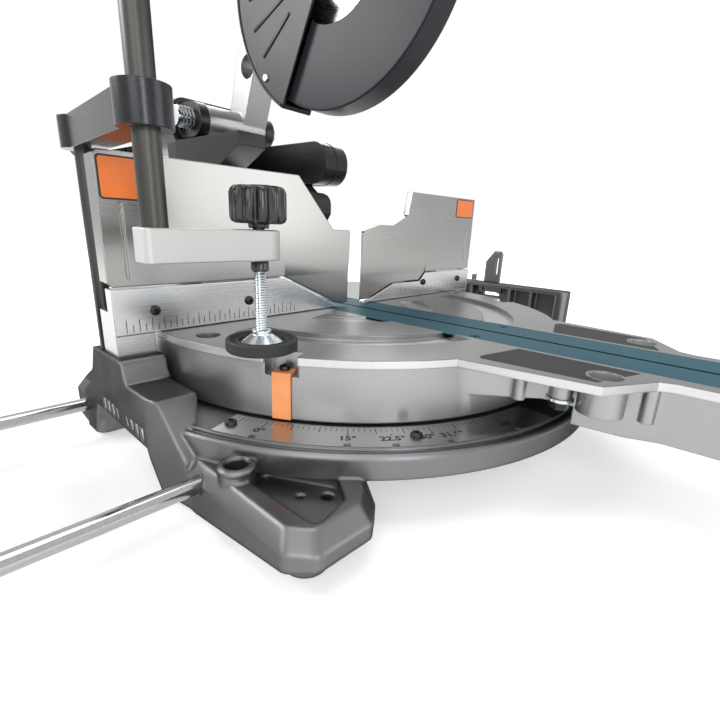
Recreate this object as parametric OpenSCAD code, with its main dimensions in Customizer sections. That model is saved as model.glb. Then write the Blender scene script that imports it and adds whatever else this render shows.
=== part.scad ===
// Cordless sliding mitre saw: a turntable with a front arm in a cast base, fences, hold-down clamp,
// pull-out side wings, and a tilting, sliding, chopping head with its own battery.
// Millimetres, +Z up. The origin is on the bench, on the axis that the table turns about.
// The front of the saw, where the user stands, is -Y.

/* [Table] */
// Height of the table top above the bench
table_h = 110; // [100:1:125]
// Radius of the turntable at its lip
table_r = 223.5; // [221.5:0.5:224.5]
// Depth of the lip that is machined round the table and the arm
lip_h = 6.5; // [6:0.5:9]
// Set-back of the cast wall under the lip
lip_in = 2.5; // [1.5:0.5:4]
// Thickness of the table top
top_t = 10; // [9:0.5:13]
// Depth of the turntable wall below its top
skirt_h = 49; // [46:0.5:49.5]
// Angle that the table stands at, to the right
mitre_set = 3.2; // [0:0.1:8]

/* [Arm] */
// Half width of the arm where it leaves the table
arm_start = 108; // [100:1:112]
// Half width at the arm's widest corner
arm_corner_x = 93; // [86:1:98]
// Distance of that corner in front of the axis
arm_corner_y = 291; // [282:1:300]
// Half width of the narrow front of the arm
arm_neck_x = 50; // [47:0.5:56]
// Distance of the front end of the arm
arm_end = 420; // [405:1:440]

/* [Kerf plates] */
// Half width of the pair of kerf plates
kerf_w = 38.4; // [34:0.2:40]
// Half of the gap that the blade runs in
kerf_gap = 2; // [1.8:0.1:2.6]
// Thickness of the kerf plates
kerf_t = 4; // [3:0.2:5]
// Front end of the kerf plates
kerf_front = 385; // [370:1:395]

/* [Fence] */
// Front face of the fences behind the axis
fence_y = 1; // [0.5:0.5:4]
// Set-back of the fence ends from the side of the base
fence_in = 3; // [1:0.5:6]
// Height of the lower fence above the table
lower_h = 37; // [32:1:40]
// Height of the sliding fences above the table
upper_h = 134.6; // [125:0.2:136]
// Thickness of the sliding fence plates
upper_t = 8; // [6:0.5:9]
// Thickness of the lower fences
lower_t = 12; // [11:0.5:14]

/* [Base] */
// Width of the base ring outside the table
ring_w = 38.5; // [36:0.5:42]
// Front of the front feet
foot_y = 217; // [212:1:225]
// Height of the feet
foot_h = 40; // [38:0.5:44]
// Diameter of the four bench bolt holes
bench_hole = 9; // [6:0.5:11]
// Half distance between the bench bolt holes, side to side
bench_x = 200; // [195:1:205]
// Half distance between the bench bolt holes, front to back
bench_y = 178; // [172:1:182]

/* [Wings] */
// Diameter of the wing rods
rod_d = 12; // [10:0.5:13]
// Height of the rods above the bench
rod_z = 28; // [26:0.5:29]
// Place of the front rods
rod_front = -106; // [-110:1:-103]
// Place of the rear rods
rod_rear = 91; // [88:1:95]
// Inner face of the wing ends, as they are pulled out
wing_x = 364; // [340:1:380]
// Width of the wing ends
wing_w = 28; // [24:1:34]

/* [Clamp] */
// Side distance of the clamp screw
clamp_x = 190.5; // [185:0.5:198]
// Distance of the clamp screw in front of the axis
clamp_y = 94; // [88:1:98]
// Side distance of the clamp's front post
post_x = 261; // [258:1:268]
// Diameter of the front post
post_d = 15; // [12:0.5:17]
// Diameter of the rear rod
clamp_rod_d = 12; // [10:0.5:13]
// Diameter of the clamp screw
screw_d = 9; // [8:0.5:11]
// Height of the clamp arm's underside above the table
clamp_arm_z = 65; // [60:1:68]

/* [Head] */
// Radius of the saw blade
blade_r = 130; // [124:1:131]
// Thickness of the saw blade
blade_t = 2.6; // [1.8:0.1:2.8]
// Number of teeth
blade_teeth = 60; // [36:1:80]
// Diameter of the blade's bore
blade_bore = 25; // [20:0.5:26]
// Depth of the lowered blade below the table top
cut_depth = 10; // [8:0.5:11]
// Angle that the head is raised by
chop_set = 51.6; // [48:0.1:53]
// Distance of the chop hinge behind the axis
hinge_y = 250; // [246:1:256]
// Height of the chop hinge above the table
hinge_z = 215; // [212:1:220]
// Place of the lowered blade axis behind the table axis
blade_y = 10; // [5:1:15]
// Diameter of the two slide rails
rail_d = 30; // [25:0.5:31]
// Distance between the rails
rail_gap = 90; // [84:1:96]
// Forward travel of the head on its rails
slide_travel = 250; // [220:5:260]
// Diameter of the chop hinge pin
hinge_d = 16; // [12:0.5:18]

/* [Hidden] */
$fn = 96;

gunmetal = "#5a5d61";
cast_alu = "#a9adb1";
bright_alu = "#cfd3d6";
steel = "#b8bec4";
dark_steel = "#3b3d40";
black = "#1c1c1e";
rubber = "#262628";
teal = "#1f7489";
orange = "#f47b2b";

// Clearances: between pieces that run on each other, and between pieces that pass each other
run = 0.05;
pass = 0.4;

// Levels in the base, above the bench
scale_t = 1;
ring_top = table_h - skirt_h - 2.5;
pad_t = 6;
skirt_z = pad_t - 3;
wall_r = table_r - lip_in;
well_r = table_r + 3;
ring_r = table_r + ring_w;
ring_in = table_r - 23.5;
base_x = ring_r;
fence_x = base_x - fence_in;
hub_r = 34;
pivot_d = 16;
hub_top = table_h - skirt_h - 1.8;
bench_floor = [foot_h - 18, foot_h - 10];
socket_d = 16.5;
socket_pos = -(ring_r + socket_d / 2 + 0.75) * [cos(28.8), sin(28.8)];
clamp_rod_pos = [8 - base_x, 38];
pedestal = [table_r + 3.5, 52, 17];
ledge_z = table_h - 34;
pad_r = 10;
pad_pos = [[34 - base_x, 27 - foot_y], [18 - base_x, 112]];
module at_pads() for (p = pad_pos) translate(p) children();

// Frames: on the table top, turned with the table, and carried by the head at the lowered blade axis
module on_table() translate([0, 0, table_h]) children();
module turned() rotate([0, 0, mitre_set]) on_table() children();
drop = hinge_z - (blade_r - cut_depth);
module head() turned() translate([0, hinge_y, hinge_z]) rotate([-chop_set, 0, 0])
  translate([0, blade_y - hinge_y, -drop]) children();

// Solids by their limits, round bars along an axis, and flat profiles given thickness along an axis
module box(x, y, z) translate([x[0], y[0], z[0]]) cube([x[1] - x[0], y[1] - y[0], z[1] - z[0]]);
module xbar(r, x) translate([x[0], 0, 0]) rotate([0, 90, 0]) cylinder(r = r, h = x[1] - x[0]);
module ybar(r, y) translate([0, y[0], 0]) rotate([-90, 0, 0]) cylinder(r = r, h = y[1] - y[0]);
module zbar(r, z) translate([0, 0, z[0]]) cylinder(r = r, h = z[1] - z[0]);
module slab_x(x) translate([x[0], 0, 0]) rotate([90, 0, 90]) linear_extrude(x[1] - x[0]) children();
module slab_y(y) translate([0, y[1], 0]) rotate([90, 0, 0]) linear_extrude(y[1] - y[0]) children();
module slab_z(z) translate([0, 0, z[0]]) linear_extrude(z[1] - z[0]) children();
module both_sides() {
  children();
  mirror([1, 0, 0]) children();
}
// A flat bar with round ends, between two points
module link2d(a, b, r) {
  d = b - a;
  translate(a) circle(r);
  translate(b) circle(r);
  translate(a) rotate(atan2(d[1], d[0])) translate([0, -r]) square([norm(d), 2 * r]);
}
// A rectangle with round corners
module round2d(x, y, r) {
  translate([x[0] + r, y[0]]) square([x[1] - x[0] - 2 * r, y[1] - y[0]]);
  translate([x[0], y[0] + r]) square([x[1] - x[0], y[1] - y[0] - 2 * r]);
  for (i = [x[0] + r, x[1] - r], j = [y[0] + r, y[1] - r]) translate([i, j]) circle(r);
}
// A grip with finger flutes round it
module fluted2d(r, count, depth) difference() {
  circle(r);
  for (i = [0 : count - 1]) rotate(i * 360 / count) translate([r + depth, 0]) circle(2 * depth);
}
// A ring sector between two angles, seen from above
module sector2d(r, a) {
  far = 2 * r[1];
  mid = (a[0] + a[1]) / 2;
  intersection() {
    difference() {
      circle(r[1], $fn = 240);
      circle(r[0], $fn = 240);
    }
    polygon([[0, 0], far * [cos(a[0]), sin(a[0])], far * [cos(mid), sin(mid)],
      far * [cos(a[1]), sin(a[1])]]);
  }
}

// Base: the cast ring, hub, side walls and feet

front_foot = [[8 - base_x, -70], [8 - base_x, 15 - foot_y], [20 - base_x, -foot_y],
  [62 - base_x, -foot_y - 1], [78 - base_x, 11 - foot_y], [112 - base_x, 59 - foot_y],
  [97 - base_x, -70]];
rear_foot = [[-base_x, 70], [4 - base_x, 140], [24 - base_x, 174], [50 - base_x, bench_y + 18],
  [77 - base_x, bench_y + 18], [102 - base_x, 160], [112 - base_x, 70]];
front_pocket = [[46 - base_x, -128], [73 - base_x, 41 - foot_y], [59 - base_x, 19 - foot_y],
  [28 - base_x, 11 - foot_y], [26 - base_x, -140]];
function toward(points, c, k) = [for (p = points) c + (p - c) * k];
front_centre = [57 - base_x, 67 - foot_y];
rear_centre = [57 - base_x, 130];
// An outline with its corners rounded off
module soft2d(points, r) offset(r = r, $fn = 48) offset(delta = -r) polygon(points);

module foot(points, centre) hull() {
  slab_z([skirt_z, foot_h - 10]) soft2d(points, 9);
  slab_z([foot_h - 0.1, foot_h]) soft2d(toward(points, centre, 0.85), 9);
}
module foot_hollow(points, centre) slab_z([-1, bench_floor[0]]) polygon(toward(points, centre, 0.87));
// Side wall seen from the side: it steps down to the front, and is arched underneath as a carrying grip
module side_wall2d() {
  top = table_h - pedestal[2];
  polygon([[pedestal[1], top], [-7, top], [-10, top - 3], [-12, ledge_z + 5], [-16, ledge_z],
    [-62, ledge_z], [-67, ledge_z - 4], [-92, foot_h - 2], [-92, skirt_z], [-62, skirt_z],
    [-46, foot_h - 5], [62, foot_h - 3], [78, skirt_z], [100, skirt_z], [100, foot_h],
    [70, foot_h + 18]]);
}
grip_ribs = 9;
module base_side() {
  difference() {
    slab_x([-base_x, -pedestal[0]]) side_wall2d();
    translate([0, 0, ledge_z - 0.01]) cylinder(r = well_r, h = 60, $fn = 240);
    slab_y([-100, 60]) polygon([[-pedestal[0] - 1.5, ledge_z], [16 - base_x, foot_h], [0, foot_h],
      [0, ledge_z]]);
    slab_z([-1, table_h]) polygon([[-base_x - 1, -50], [-base_x, -50], [8 - base_x, -92],
      [8 - base_x, -101], [-base_x - 1, -101]]);
    for (i = [0 : grip_ribs - 1]) box([-base_x - 1, -base_x + 2.5], [38 - i * 10, 43 - i * 10],
      [foot_h - 1, foot_h + 10]);
  }
  difference() {
    foot(front_foot, front_centre);
    foot_hollow(front_foot, front_centre);
    slab_x([-base_x - 1, 130 - base_x]) polygon([[-101, skirt_z], [-101, -1], [-foot_y - 20, -1],
      [-foot_y - 20, skirt_z + 0.146 * (foot_y - 81)]]);
    slab_z([bench_floor[1], foot_h + 1]) soft2d(front_pocket, 6);
  }
  difference() {
    foot(rear_foot, rear_centre);
    foot_hollow(rear_foot, rear_centre);
    slab_z([bench_floor[1], foot_h + 1]) soft2d(toward(rear_foot, rear_centre, 0.62), 6);
  }
  for (y = [rod_front, rod_rear]) translate([0, y, rod_z]) xbar(rod_d / 2 + 5,
    [14 - base_x, 122 - base_x]);
  translate(socket_pos) zbar(socket_d / 2 + 3.75, [bench_floor[0], foot_h + 8]);
  for (y = [-bench_y, bench_y]) translate([-bench_x, y]) zbar(bench_hole / 2 + 6, [0, bench_floor[1]]);
  at_pads() zbar(pad_r + 4, [skirt_z, bench_floor[1]]);
}
module base_side_bores() {
  for (y = [rod_front, rod_rear]) translate([0, y, rod_z]) xbar(rod_d / 2 + run,
    [-base_x - 5, 182 - base_x]);
  translate(socket_pos) zbar(socket_d / 2, [bench_floor[1], foot_h + 9]);
  for (y = [-bench_y, bench_y]) translate([-bench_x, y]) zbar(bench_hole / 2, [-1, foot_h + 1]);
  translate([49 - base_x, 51 - foot_y]) zbar(2.75, [0, foot_h]);
  at_pads() {
    zbar(pad_r + 0.01, [0, pad_t]);
    zbar(3.01, [0, pad_t + 8.5]);
  }
}
scale_arc = [202, 264];
scale_r = [table_r + 0.5, ring_r - 8];
zero_az = 60.8;
scale_screw_az = [66.5, 34.1];
scale_screw_r = scale_r[0] + 16;
module at_scale_screws() for (a = scale_screw_az) rotate(270 - a) translate([scale_screw_r,
  0]) children();

module base_casting() color(gunmetal) difference() {
  union() {
    rotate_extrude($fn = 240) polygon([[ring_in, ring_top - 14], [ring_in, ring_top],
      [ring_r - 7.5, ring_top], [ring_r - 7.5, ring_top - 4], [ring_r - 4, ring_top - 4],
      [ring_r - 4, ring_top - 1.5], [ring_r - 2, ring_top - 1.5], [ring_r, ring_top - 4],
      [ring_r, ring_top - 20], [ring_r - 23, ring_top - 33], [ring_r - 31, ring_top - 33],
      [ring_r - 40, ring_top - 14]]);
    zbar(hub_r, [24, hub_top]);
    for (i = [0 : 5]) rotate(i * 60) box([hub_r - 4, ring_in + 6], [-7, 7],
      [ring_top - 26, ring_top - 12]);
    both_sides() base_side();
  }
  zbar(pivot_d / 2 + run, [0, table_h]);
  zbar(pivot_d, [0, 34]);
  both_sides() base_side_bores();
  both_sides() at_scale_screws() zbar(2, [ring_top - 10, ring_top + 1]);
  translate([clamp_rod_pos[0], clamp_rod_pos[1]]) zbar(clamp_rod_d / 2 + run, [foot_h + 8, table_h]);
}
module rubber_feet() color(rubber) both_sides() at_pads() {
  zbar(pad_r, [0, pad_t]);
  zbar(3, [pad_t, pad_t + 8]);
}
module mitre_scales() color(bright_alu) both_sides() difference() {
  slab_z([ring_top, ring_top + scale_t]) sector2d(scale_r, scale_arc);
  for (a = [0, 15, 22.5, 31.6, 45]) rotate(270 - zero_az + a) box([scale_r[1] - 4, scale_r[1] + 5],
    [-2.5, 2.5], [ring_top - 1, table_h]);
  at_scale_screws() zbar(2, [0, table_h]);
}
fence_screw_x = [139.5, 227.5];
fence_screw_z = 18.4;
module screw_head(r, h) {
  zbar(r, [0, h * 0.5]);
  translate([0, 0, h * 0.5]) cylinder(r1 = r, r2 = r * 0.6, h = h * 0.5);
}
module base_screws() color(black) both_sides() {
  at_scale_screws() {
    translate([0, 0, ring_top + scale_t]) screw_head(4.5, 3);
    zbar(2 - run, [ring_top - 9, ring_top + scale_t]);
  }
  on_table() for (x = fence_screw_x) translate([-x, fence_y, fence_screw_z]) {
    rotate([90, 0, 0]) screw_head(4.2, 2.6);
    ybar(2, [0, lower_t - 3]);
  }
}
module pivot_bolt() color(steel) {
  zbar(pivot_d / 2, [34, table_h - 27]);
  zbar(pivot_d - 3, [24, 34]);
}

// Fences. The nose of each sliding fence runs in a groove behind a thin lip of the lower fence

lip_t = 1.2;
nose_y = fence_y + lip_t + 0.2;
groove_y = [fence_y + lip_t, fence_y + upper_t + pass];
fence_travel = 40;
module fence_foot() box([-fence_x, -pedestal[0] - 2], [fence_y + 0.5, 31], [-pedestal[2], 0.5]);
module left_lower_fence() color(cast_alu) on_table() difference() {
  union() {
    slab_y([fence_y, fence_y + lower_t]) polygon([[-fence_x, 0.5], [-fence_x, lower_h],
      [-97, lower_h], [-27, 3], [-22, 0.5]]);
    fence_foot();
    box([-fence_x, -pedestal[0] - 2], [fence_y + lower_t, 31], [0.5, lower_h / 2]);
  }
  slab_y(groove_y) polygon([[0, 3.2], [-21 - fence_travel, 3.2], [-98 - fence_travel, lower_h + 1],
    [0, lower_h + 1]]);
  for (x = fence_screw_x) translate([-x, 0, fence_screw_z]) ybar(2 + run,
    [fence_y - 1, fence_y + lower_t - 3]);
}
module right_lower_fence() color(cast_alu) on_table() difference() {
  union() {
    slab_y([fence_y, fence_y + lower_t]) polygon([[fence_x, 0.5], [fence_x, lower_h - 6],
      [144, lower_h - 6], [132, lower_h - 17], [75, lower_h - 17], [28, 3], [24, 0.5]]);
    mirror([1, 0, 0]) fence_foot();
    box([pedestal[0] + 2, fence_x], [fence_y + lower_t, 31], [0.5, lower_h / 2]);
  }
  slab_y(groove_y) polygon([[0, 3.5], [28.5 + fence_travel, 3.5], [75.5 + fence_travel, lower_h - 16.1],
    [131.5 + fence_travel, lower_h - 16.1], [145 + fence_travel, lower_h - 5], [0, lower_h - 5]]);
  for (x = fence_screw_x) translate([x, 0, fence_screw_z]) ybar(2 + run,
    [fence_y - 1, fence_y + lower_t - 3]);
}
// Each sliding fence is a plate over the lower fence, with a runner behind it. Its face is flush with the
// lower fence, and leans back over the last few millimetres above the nose
module nose_lean(x, z) translate([x[0], 0, 0]) rotate([90, 0, 90]) linear_extrude(x[1] - x[0]) polygon([
  [fence_y - 1, 0], [nose_y, 0], [nose_y, z], [fence_y, z + 14], [fence_y - 1, z + 14]]);
runner_y = [fence_y + lower_t + pass, fence_y + lower_t + 9];
fence_knob_x = 145;
runner_x = [-175, -110];
fence_knob_z = 22;
module fence_runner() {
  box(runner_x, runner_y, [6, lower_h + 12]);
  box(runner_x, [fence_y + upper_t - 1, runner_y[1]], [lower_h + 1.5, lower_h + 12]);
}
module left_upper_fence() color(bright_alu) on_table() difference() {
  union() {
    slab_y([fence_y, fence_y + upper_t]) polygon([[2 - fence_x, lower_h + 1.5], [-fence_x - 1.5, lower_h + 5],
      [-fence_x - 1.5, upper_h - 3], [1.5 - fence_x, upper_h], [-79, upper_h], [-32, upper_h - 50],
      [-8, upper_h - 50], [-6.5, upper_h - 52], [-6.5, 4], [-20.5, 4], [-96.5, lower_h + 1.5]]);
    box([-fence_x - 1.5, -fence_x + 5], [fence_y + upper_t - 1, fence_y + 16],
      [lower_h + 5, upper_h - 3]);
    fence_runner();
  }
  nose_lean([-97, 0], lower_h + 1.5);
  slab_z([0, upper_h]) polygon([[-6, fence_y + 1.5], [-17.5, fence_y + upper_t + 0.5],
    [-6, fence_y + upper_t + 0.5]]);
  translate([14 - fence_x, 0, 72]) rotate([-90, 0, 0]) slab_z([fence_y - 1, fence_y + 1.2]) link2d([0,
    -27], [0, 27], 1.1);
  translate([-fence_knob_x, 0, fence_knob_z]) ybar(4 + run, [0, 60]);
}
module right_upper_fence() color(bright_alu) on_table() difference() {
  union() {
    slab_y([fence_y, fence_y + upper_t]) polygon([[fence_x - 3, lower_h - 4.5],
      [fence_x - 3, upper_h - 2], [103, upper_h - 2], [97, upper_h - 30], [68, upper_h - 43],
      [46, upper_h - 43], [19.5, upper_h - 49], [15.5, upper_h - 53], [15.5, 4.5], [28, 4.5],
      [74.5, lower_h - 15.5], [130.5, lower_h - 15.5], [143, lower_h - 4.5]]);
    box([fence_x - 9, fence_x - 3], [fence_y + upper_t - 1, fence_y + 16],
      [lower_h - 4.5, upper_h - 2]);
    mirror([1, 0, 0]) fence_runner();
  }
  nose_lean([0, 143.5], lower_h - 4.5);
  slab_z([0, upper_h]) polygon([[15, fence_y + 3], [22.5, fence_y + upper_t + 0.5],
    [15, fence_y + upper_t + 0.5]]);
  translate([fence_x - 19, 0, 66]) rotate([-90, 0, 0]) slab_z([fence_y - 1, fence_y + 1.2]) link2d([0,
    -24], [0, 24], 1.1);
  translate([fence_knob_x, 0, fence_knob_z]) ybar(4 + run, [0, 60]);
}
module fence_knob() {
  ybar(4, [runner_y[0] + pass, runner_y[1] + 8]);
  translate([0, runner_y[1] + 24, 0]) rotate([90, 0, 0]) linear_extrude(16) fluted2d(15, 8, 2);
}
module left_fence_knob() color(black) on_table() translate([-fence_knob_x, 0,
  fence_knob_z]) fence_knob();
module right_fence_knob() color(black) on_table() translate([fence_knob_x, 0,
  fence_knob_z]) fence_knob();

// Side wings: two rods that slide in the base, and an end that carries long work level with the table

wing_mid = wing_x + wing_w / 2;
stop_y = [8, 37];
stop_h = 55;
stop_t = 5;
stop_x = wing_x + wing_w - 9;
stop_z = table_h - 12;
module wing_rods() for (y = [rod_front, rod_rear]) translate([0, y, rod_z]) xbar(rod_d / 2,
  [-wing_x - wing_w + 6, 112 - base_x]);
module wing_end() {
  out = -wing_x - wing_w;
  y = [rod_front - 10, rod_rear + 10];
  difference() {
    union() {
      slab_z([table_h - 6, table_h]) round2d([out, -wing_x], y, 9);
      box([out, out + 5], [y[0] + 9, y[1] - 9], [rod_z + 22, table_h - 6]);
      for (p = [y[0], y[1] - 20]) slab_z([rod_z - 12, table_h - 6]) round2d([out, -wing_x],
        [p, p + 20], 8);
      for (p = [-60, -22, 52]) box([out + 5, -wing_x - 4], [p, p + 4], [rod_z + 34, table_h - 6]);
      for (p = [stop_y[0] - 7.5, stop_y[1] + 0.5]) box([-stop_x - 6, -stop_x + 6], [p, p + 7],
        [stop_z - 6, table_h - 6]);
    }
    for (p = [rod_front, rod_rear]) translate([0, p, rod_z]) xbar(rod_d / 2 + 0.01,
      [out + 6, -wing_x + 1]);
    box([out - 1, -stop_x + stop_t + 0.5], [stop_y[0] - 0.5, stop_y[1] + 0.5],
      [stop_z - 12, table_h + 1]);
    translate([-stop_x, 0, stop_z]) ybar(2.5 + run, [stop_y[0] - 8, stop_y[1] + 8]);
  }
  translate([-wing_mid, 56]) zbar(4.5, [table_h, table_h + 12]);
}
module wing_stop() {
  slab_x([-stop_x - stop_t / 2, -stop_x + stop_t / 2]) difference() {
    polygon([[stop_y[0], stop_z - 5], [stop_y[0], table_h + stop_h - 4],
      [stop_y[0] + 4, table_h + stop_h], [stop_y[0] + 14, table_h + stop_h],
      [stop_y[1], table_h + 36], [stop_y[1], stop_z - 5]]);
    round2d([stop_y[0] + 5, stop_y[0] + 9], [table_h + 14, table_h + 44], 1.9);
  }
  translate([-stop_x, 0, stop_z]) ybar(2.5, [stop_y[0] - 7, stop_y[1] + 7]);
}
module left_wing_rods() color(steel) wing_rods();
module left_wing_end() color(gunmetal) wing_end();
module left_wing_stop() color(gunmetal) wing_stop();
module right_wing_rods() color(steel) mirror([1, 0, 0]) wing_rods();
module right_wing_end() color(gunmetal) mirror([1, 0, 0]) wing_end();
module right_wing_stop() color(gunmetal) mirror([1, 0, 0]) wing_stop();

// Hold-down clamp: a rod in the base, a top arm to the front, a post, a lower arm, and the screw with its foot

top_arm_z = [upper_h + 1.4, upper_h + 23];
clamp_arm_h = 20;
knob_h = 24;
knob_r = 19.2;
knob_z = clamp_arm_z + clamp_arm_h + 4;
module clamp_rod() color(dark_steel) on_table() translate(clamp_rod_pos)
  zbar(clamp_rod_d / 2, [foot_h + 9 - table_h, top_arm_z[1] - 4]);
module clamp_top_arm() color(dark_steel) on_table() difference() {
  slab_z(top_arm_z) {
    link2d(clamp_rod_pos, [-post_x, -clamp_y], 10);
    translate(clamp_rod_pos) circle(14);
    translate([-post_x, -clamp_y]) circle(15);
  }
  translate(clamp_rod_pos) zbar(clamp_rod_d / 2 + 0.01, [0, top_arm_z[1] - 4]);
  translate([-post_x, -clamp_y]) zbar(post_d / 2 + run, [0, top_arm_z[1] + 1]);
}
module clamp_post() color(dark_steel) on_table() translate([-post_x, -clamp_y])
  zbar(post_d / 2, [clamp_arm_z + 3, top_arm_z[1] + 45]);
module clamp_arm() color(bright_alu) on_table() difference() {
  slab_z([clamp_arm_z, clamp_arm_z + clamp_arm_h]) {
    round2d([-post_x - 10, -clamp_x], [-clamp_y - 10, -clamp_y + 10], 4);
    translate([-clamp_x, -clamp_y]) circle(14);
    polygon([[-clamp_x - 26, -clamp_y - 10], [-clamp_x - 14, -clamp_y - 14],
      [-clamp_x, -clamp_y - 14], [-clamp_x, -clamp_y + 14], [-clamp_x - 14, -clamp_y + 14],
      [-clamp_x - 26, -clamp_y + 10]]);
  }
  translate([-post_x, -clamp_y]) zbar(post_d / 2 + 0.01,
    [clamp_arm_z + 3, clamp_arm_z + clamp_arm_h + 1]);
  translate([-clamp_x, -clamp_y]) zbar(screw_d / 2 + run, [0, clamp_arm_z + clamp_arm_h + 1]);
}
foot_top = 15;
module clamp_screw() color(steel) on_table() translate([-clamp_x, -clamp_y]) zbar(screw_d / 2,
  [foot_top - 7, knob_z + knob_h - 5]);
module clamp_knob() color(black) on_table() translate([-clamp_x, -clamp_y]) difference() {
  union() {
    slab_z([knob_z, knob_z + knob_h]) fluted2d(knob_r, 11, 1.5);
    zbar(7.2, [knob_z - 3, knob_z]);
  }
  zbar(screw_d / 2 + 0.01, [0, knob_z + knob_h - 5]);
}
module clamp_foot() color(steel) on_table() translate([-clamp_x, -clamp_y]) difference() {
  union() {
    zbar(17, [2, 5]);
    translate([0, 0, 5]) cylinder(r1 = 17, r2 = 7, h = 7);
    zbar(7, [12, foot_top]);
  }
  zbar(screw_d / 2 + run, [foot_top - 7 - pass, foot_top + 1]);
}
module clamp_pad() color(rubber) on_table() translate([-clamp_x, -clamp_y]) difference() {
  zbar(26, [0.3, 9]);
  zbar(17.01, [2, 10]);
}

// Turntable with its front arm, kerf plates, pointers and locks

function arm_half(i) = [[arm_start - i, -table_r * 0.84], [arm_corner_x - i, i * 0.5 - arm_corner_y],
  [arm_neck_x + 4 - i, i - arm_corner_y - 25], [arm_neck_x - i, i - arm_corner_y - 35],
  [arm_neck_x - i, i - arm_end]];
function mirrored(points) = [for (k = [len(points) - 1 : -1 : 0]) [-points[k][0], points[k][1]]];
module arm2d(i) polygon(concat(arm_half(i), mirrored(arm_half(i))));
// The arm's side walls stand in from the edge of its top, so the cups and bolts hang outside them
function side_half(i) = [[arm_start - 6 - i, -table_r * 0.84],
  [arm_neck_x + 8 - i, 45 - arm_corner_y], [arm_neck_x + 4 - i, -arm_corner_y - 10],
  [arm_neck_x - 4 - i, -arm_corner_y - 33], [arm_neck_x - 4 - i, 4 - arm_end]];
module arm_sides2d(i) polygon(concat(side_half(i), mirrored(side_half(i))));
side_ribs = [[71, -232], [arm_neck_x, -arm_corner_y - 22]];
arm_wall = 6;
arm_deep = 45;
arm_shallow = 31;
cup_pos = [68, arm_corner_y - 4];
lock_z = -27;
lock_d = 14;
tilt_r = 46;
tilt_face = 262;
finger_pos = [table_r - 21.5, 21];
arm_bolt = [73, -262];
pointer_az = 61.9;
pointer_top = -13;
detent_pin = [-arm_end + 10.5, -9];
panel_t = 1;
// Dark inset of the arm top, between the kerf plates and the edge
module panel2d() difference() {
  polygon([[kerf_w + 4, -217], [kerf_w + 4, 5 - arm_corner_y - 18],
    [arm_corner_x - 6, 5 - arm_corner_y], [arm_start - 15, -208], [arm_start - 22, -205]]);
  translate([cup_pos[0], -cup_pos[1]]) circle(12.5);
}
module turntable_body() {
  zbar(table_r, [-lip_h, 0], $fn = 240);
  zbar(wall_r, [-top_t, -lip_h], $fn = 240);
  slab_z([-skirt_h, -top_t]) difference() {
    circle(wall_r, $fn = 240);
    circle(wall_r - 8, $fn = 240);
  }
  zbar(hub_r, [-skirt_h - 1.5, -top_t]);
  for (i = [0 : 5]) rotate(i * 60 + 30) box([hub_r - 3, wall_r - 5], [-3, 3], [-skirt_h + 9, -top_t]);
  slab_z([-lip_h, 0]) arm2d(0);
  difference() {
    slab_z([-arm_deep, -lip_h]) difference() {
      arm_sides2d(0);
      arm_sides2d(arm_wall);
    }
    box([-200, 200], [-ring_r - 6, 0], [-arm_deep - 1, -arm_shallow]);
    zbar(wall_r - 4, [-arm_deep - 1, -lip_h]);
  }
  box([-arm_neck_x + 4, arm_neck_x - 4], [-arm_end + 4, -arm_end + 26], [-arm_deep, -lip_h]);
  both_sides() translate([cup_pos[0], -cup_pos[1]]) zbar(15, [-26, -lip_h]);
  both_sides() translate(arm_bolt) zbar(8, [-20, -lip_h]);
  both_sides() for (p = side_ribs) translate(p) zbar(5, [-arm_shallow, -lip_h]);
  both_sides() at_pointer() box([table_r - 26, table_r - lip_in - 0.5], [-17, 17], [-26, -top_t + 1]);
  box([-tilt_r, tilt_r], [wall_r * 0.95, tilt_face], [-skirt_h, -lip_h]);
  ybar(tilt_r, [tilt_face - 26, tilt_face]);
}
pointer_w = 14.5;
module at_pointer() rotate(270 - pointer_az) children();
module turntable() color(cast_alu) turned() difference() {
  turntable_body();
  box([-kerf_w - 0.1, kerf_w + 0.1], [-kerf_front - 0.1, 58.1], [-kerf_t - 0.2, 1]);
  box([-26, 26], [-kerf_front + 8, 50], [-26, 1]);
  box([-15, 15], [40, 198], [-26, 1]);
  for (a = [[188, 256], [284, 352]]) slab_z([-5, 1]) sector2d([150, 181], a);
  for (a = [[196, 248], [292, 344]]) slab_z([-2.5, 1]) sector2d([66, 94], a);
  zbar(pivot_d / 2 + run, [-table_h, 0]);
  both_sides() {
    translate([finger_pos[0], -finger_pos[1]]) zbar(9.5, [-top_t - 1, 1]);
    translate([cup_pos[0], -cup_pos[1]]) zbar(11, [-22, 1]);
    slab_z([-panel_t - 0.05, 1]) panel2d();
    translate(arm_bolt) zbar(3 + run, [-30, -12]);
    at_pointer() {
      box([table_r - 15, table_r + 5], [-13, 13], [pointer_top - 3, 1]);
      box([table_r - 4.5, table_r + 5], [-pointer_w / 2 - 0.3, pointer_w / 2 + 0.3],
        [-skirt_h - 1, pointer_top]);
    }
  }
  ybar(10 + run, [tilt_face - 30, tilt_face + 1]);
  ybar(17, [tilt_face - 60, tilt_face - 26]);
  translate([0, 0, lock_z]) ybar(lock_d / 2 + run, [-arm_end, -arm_end + 40]);
  box([-13, 13], [-arm_end - 1, -arm_end + 16], [-16, 1]);
  translate([0, detent_pin[0], detent_pin[1]]) xbar(2 + run, [-18, 18]);
}
module kerf_plate() difference() {
  slab_y([-kerf_front, 58]) polygon([[kerf_gap, -0.2], [kerf_w, -0.2], [kerf_w, -kerf_t - 0.2],
    [kerf_gap + kerf_t, -kerf_t - 0.2]]);
  at_kerf_screws() cylinder(r = 4.6, h = 10, center = true);
}
kerf_screw_y = [-360, -172.5, 40];
module at_kerf_screws() for (y = kerf_screw_y) translate([30, y]) children();
module left_kerf_plate() color(teal) turned() mirror([1, 0, 0]) kerf_plate();
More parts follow.
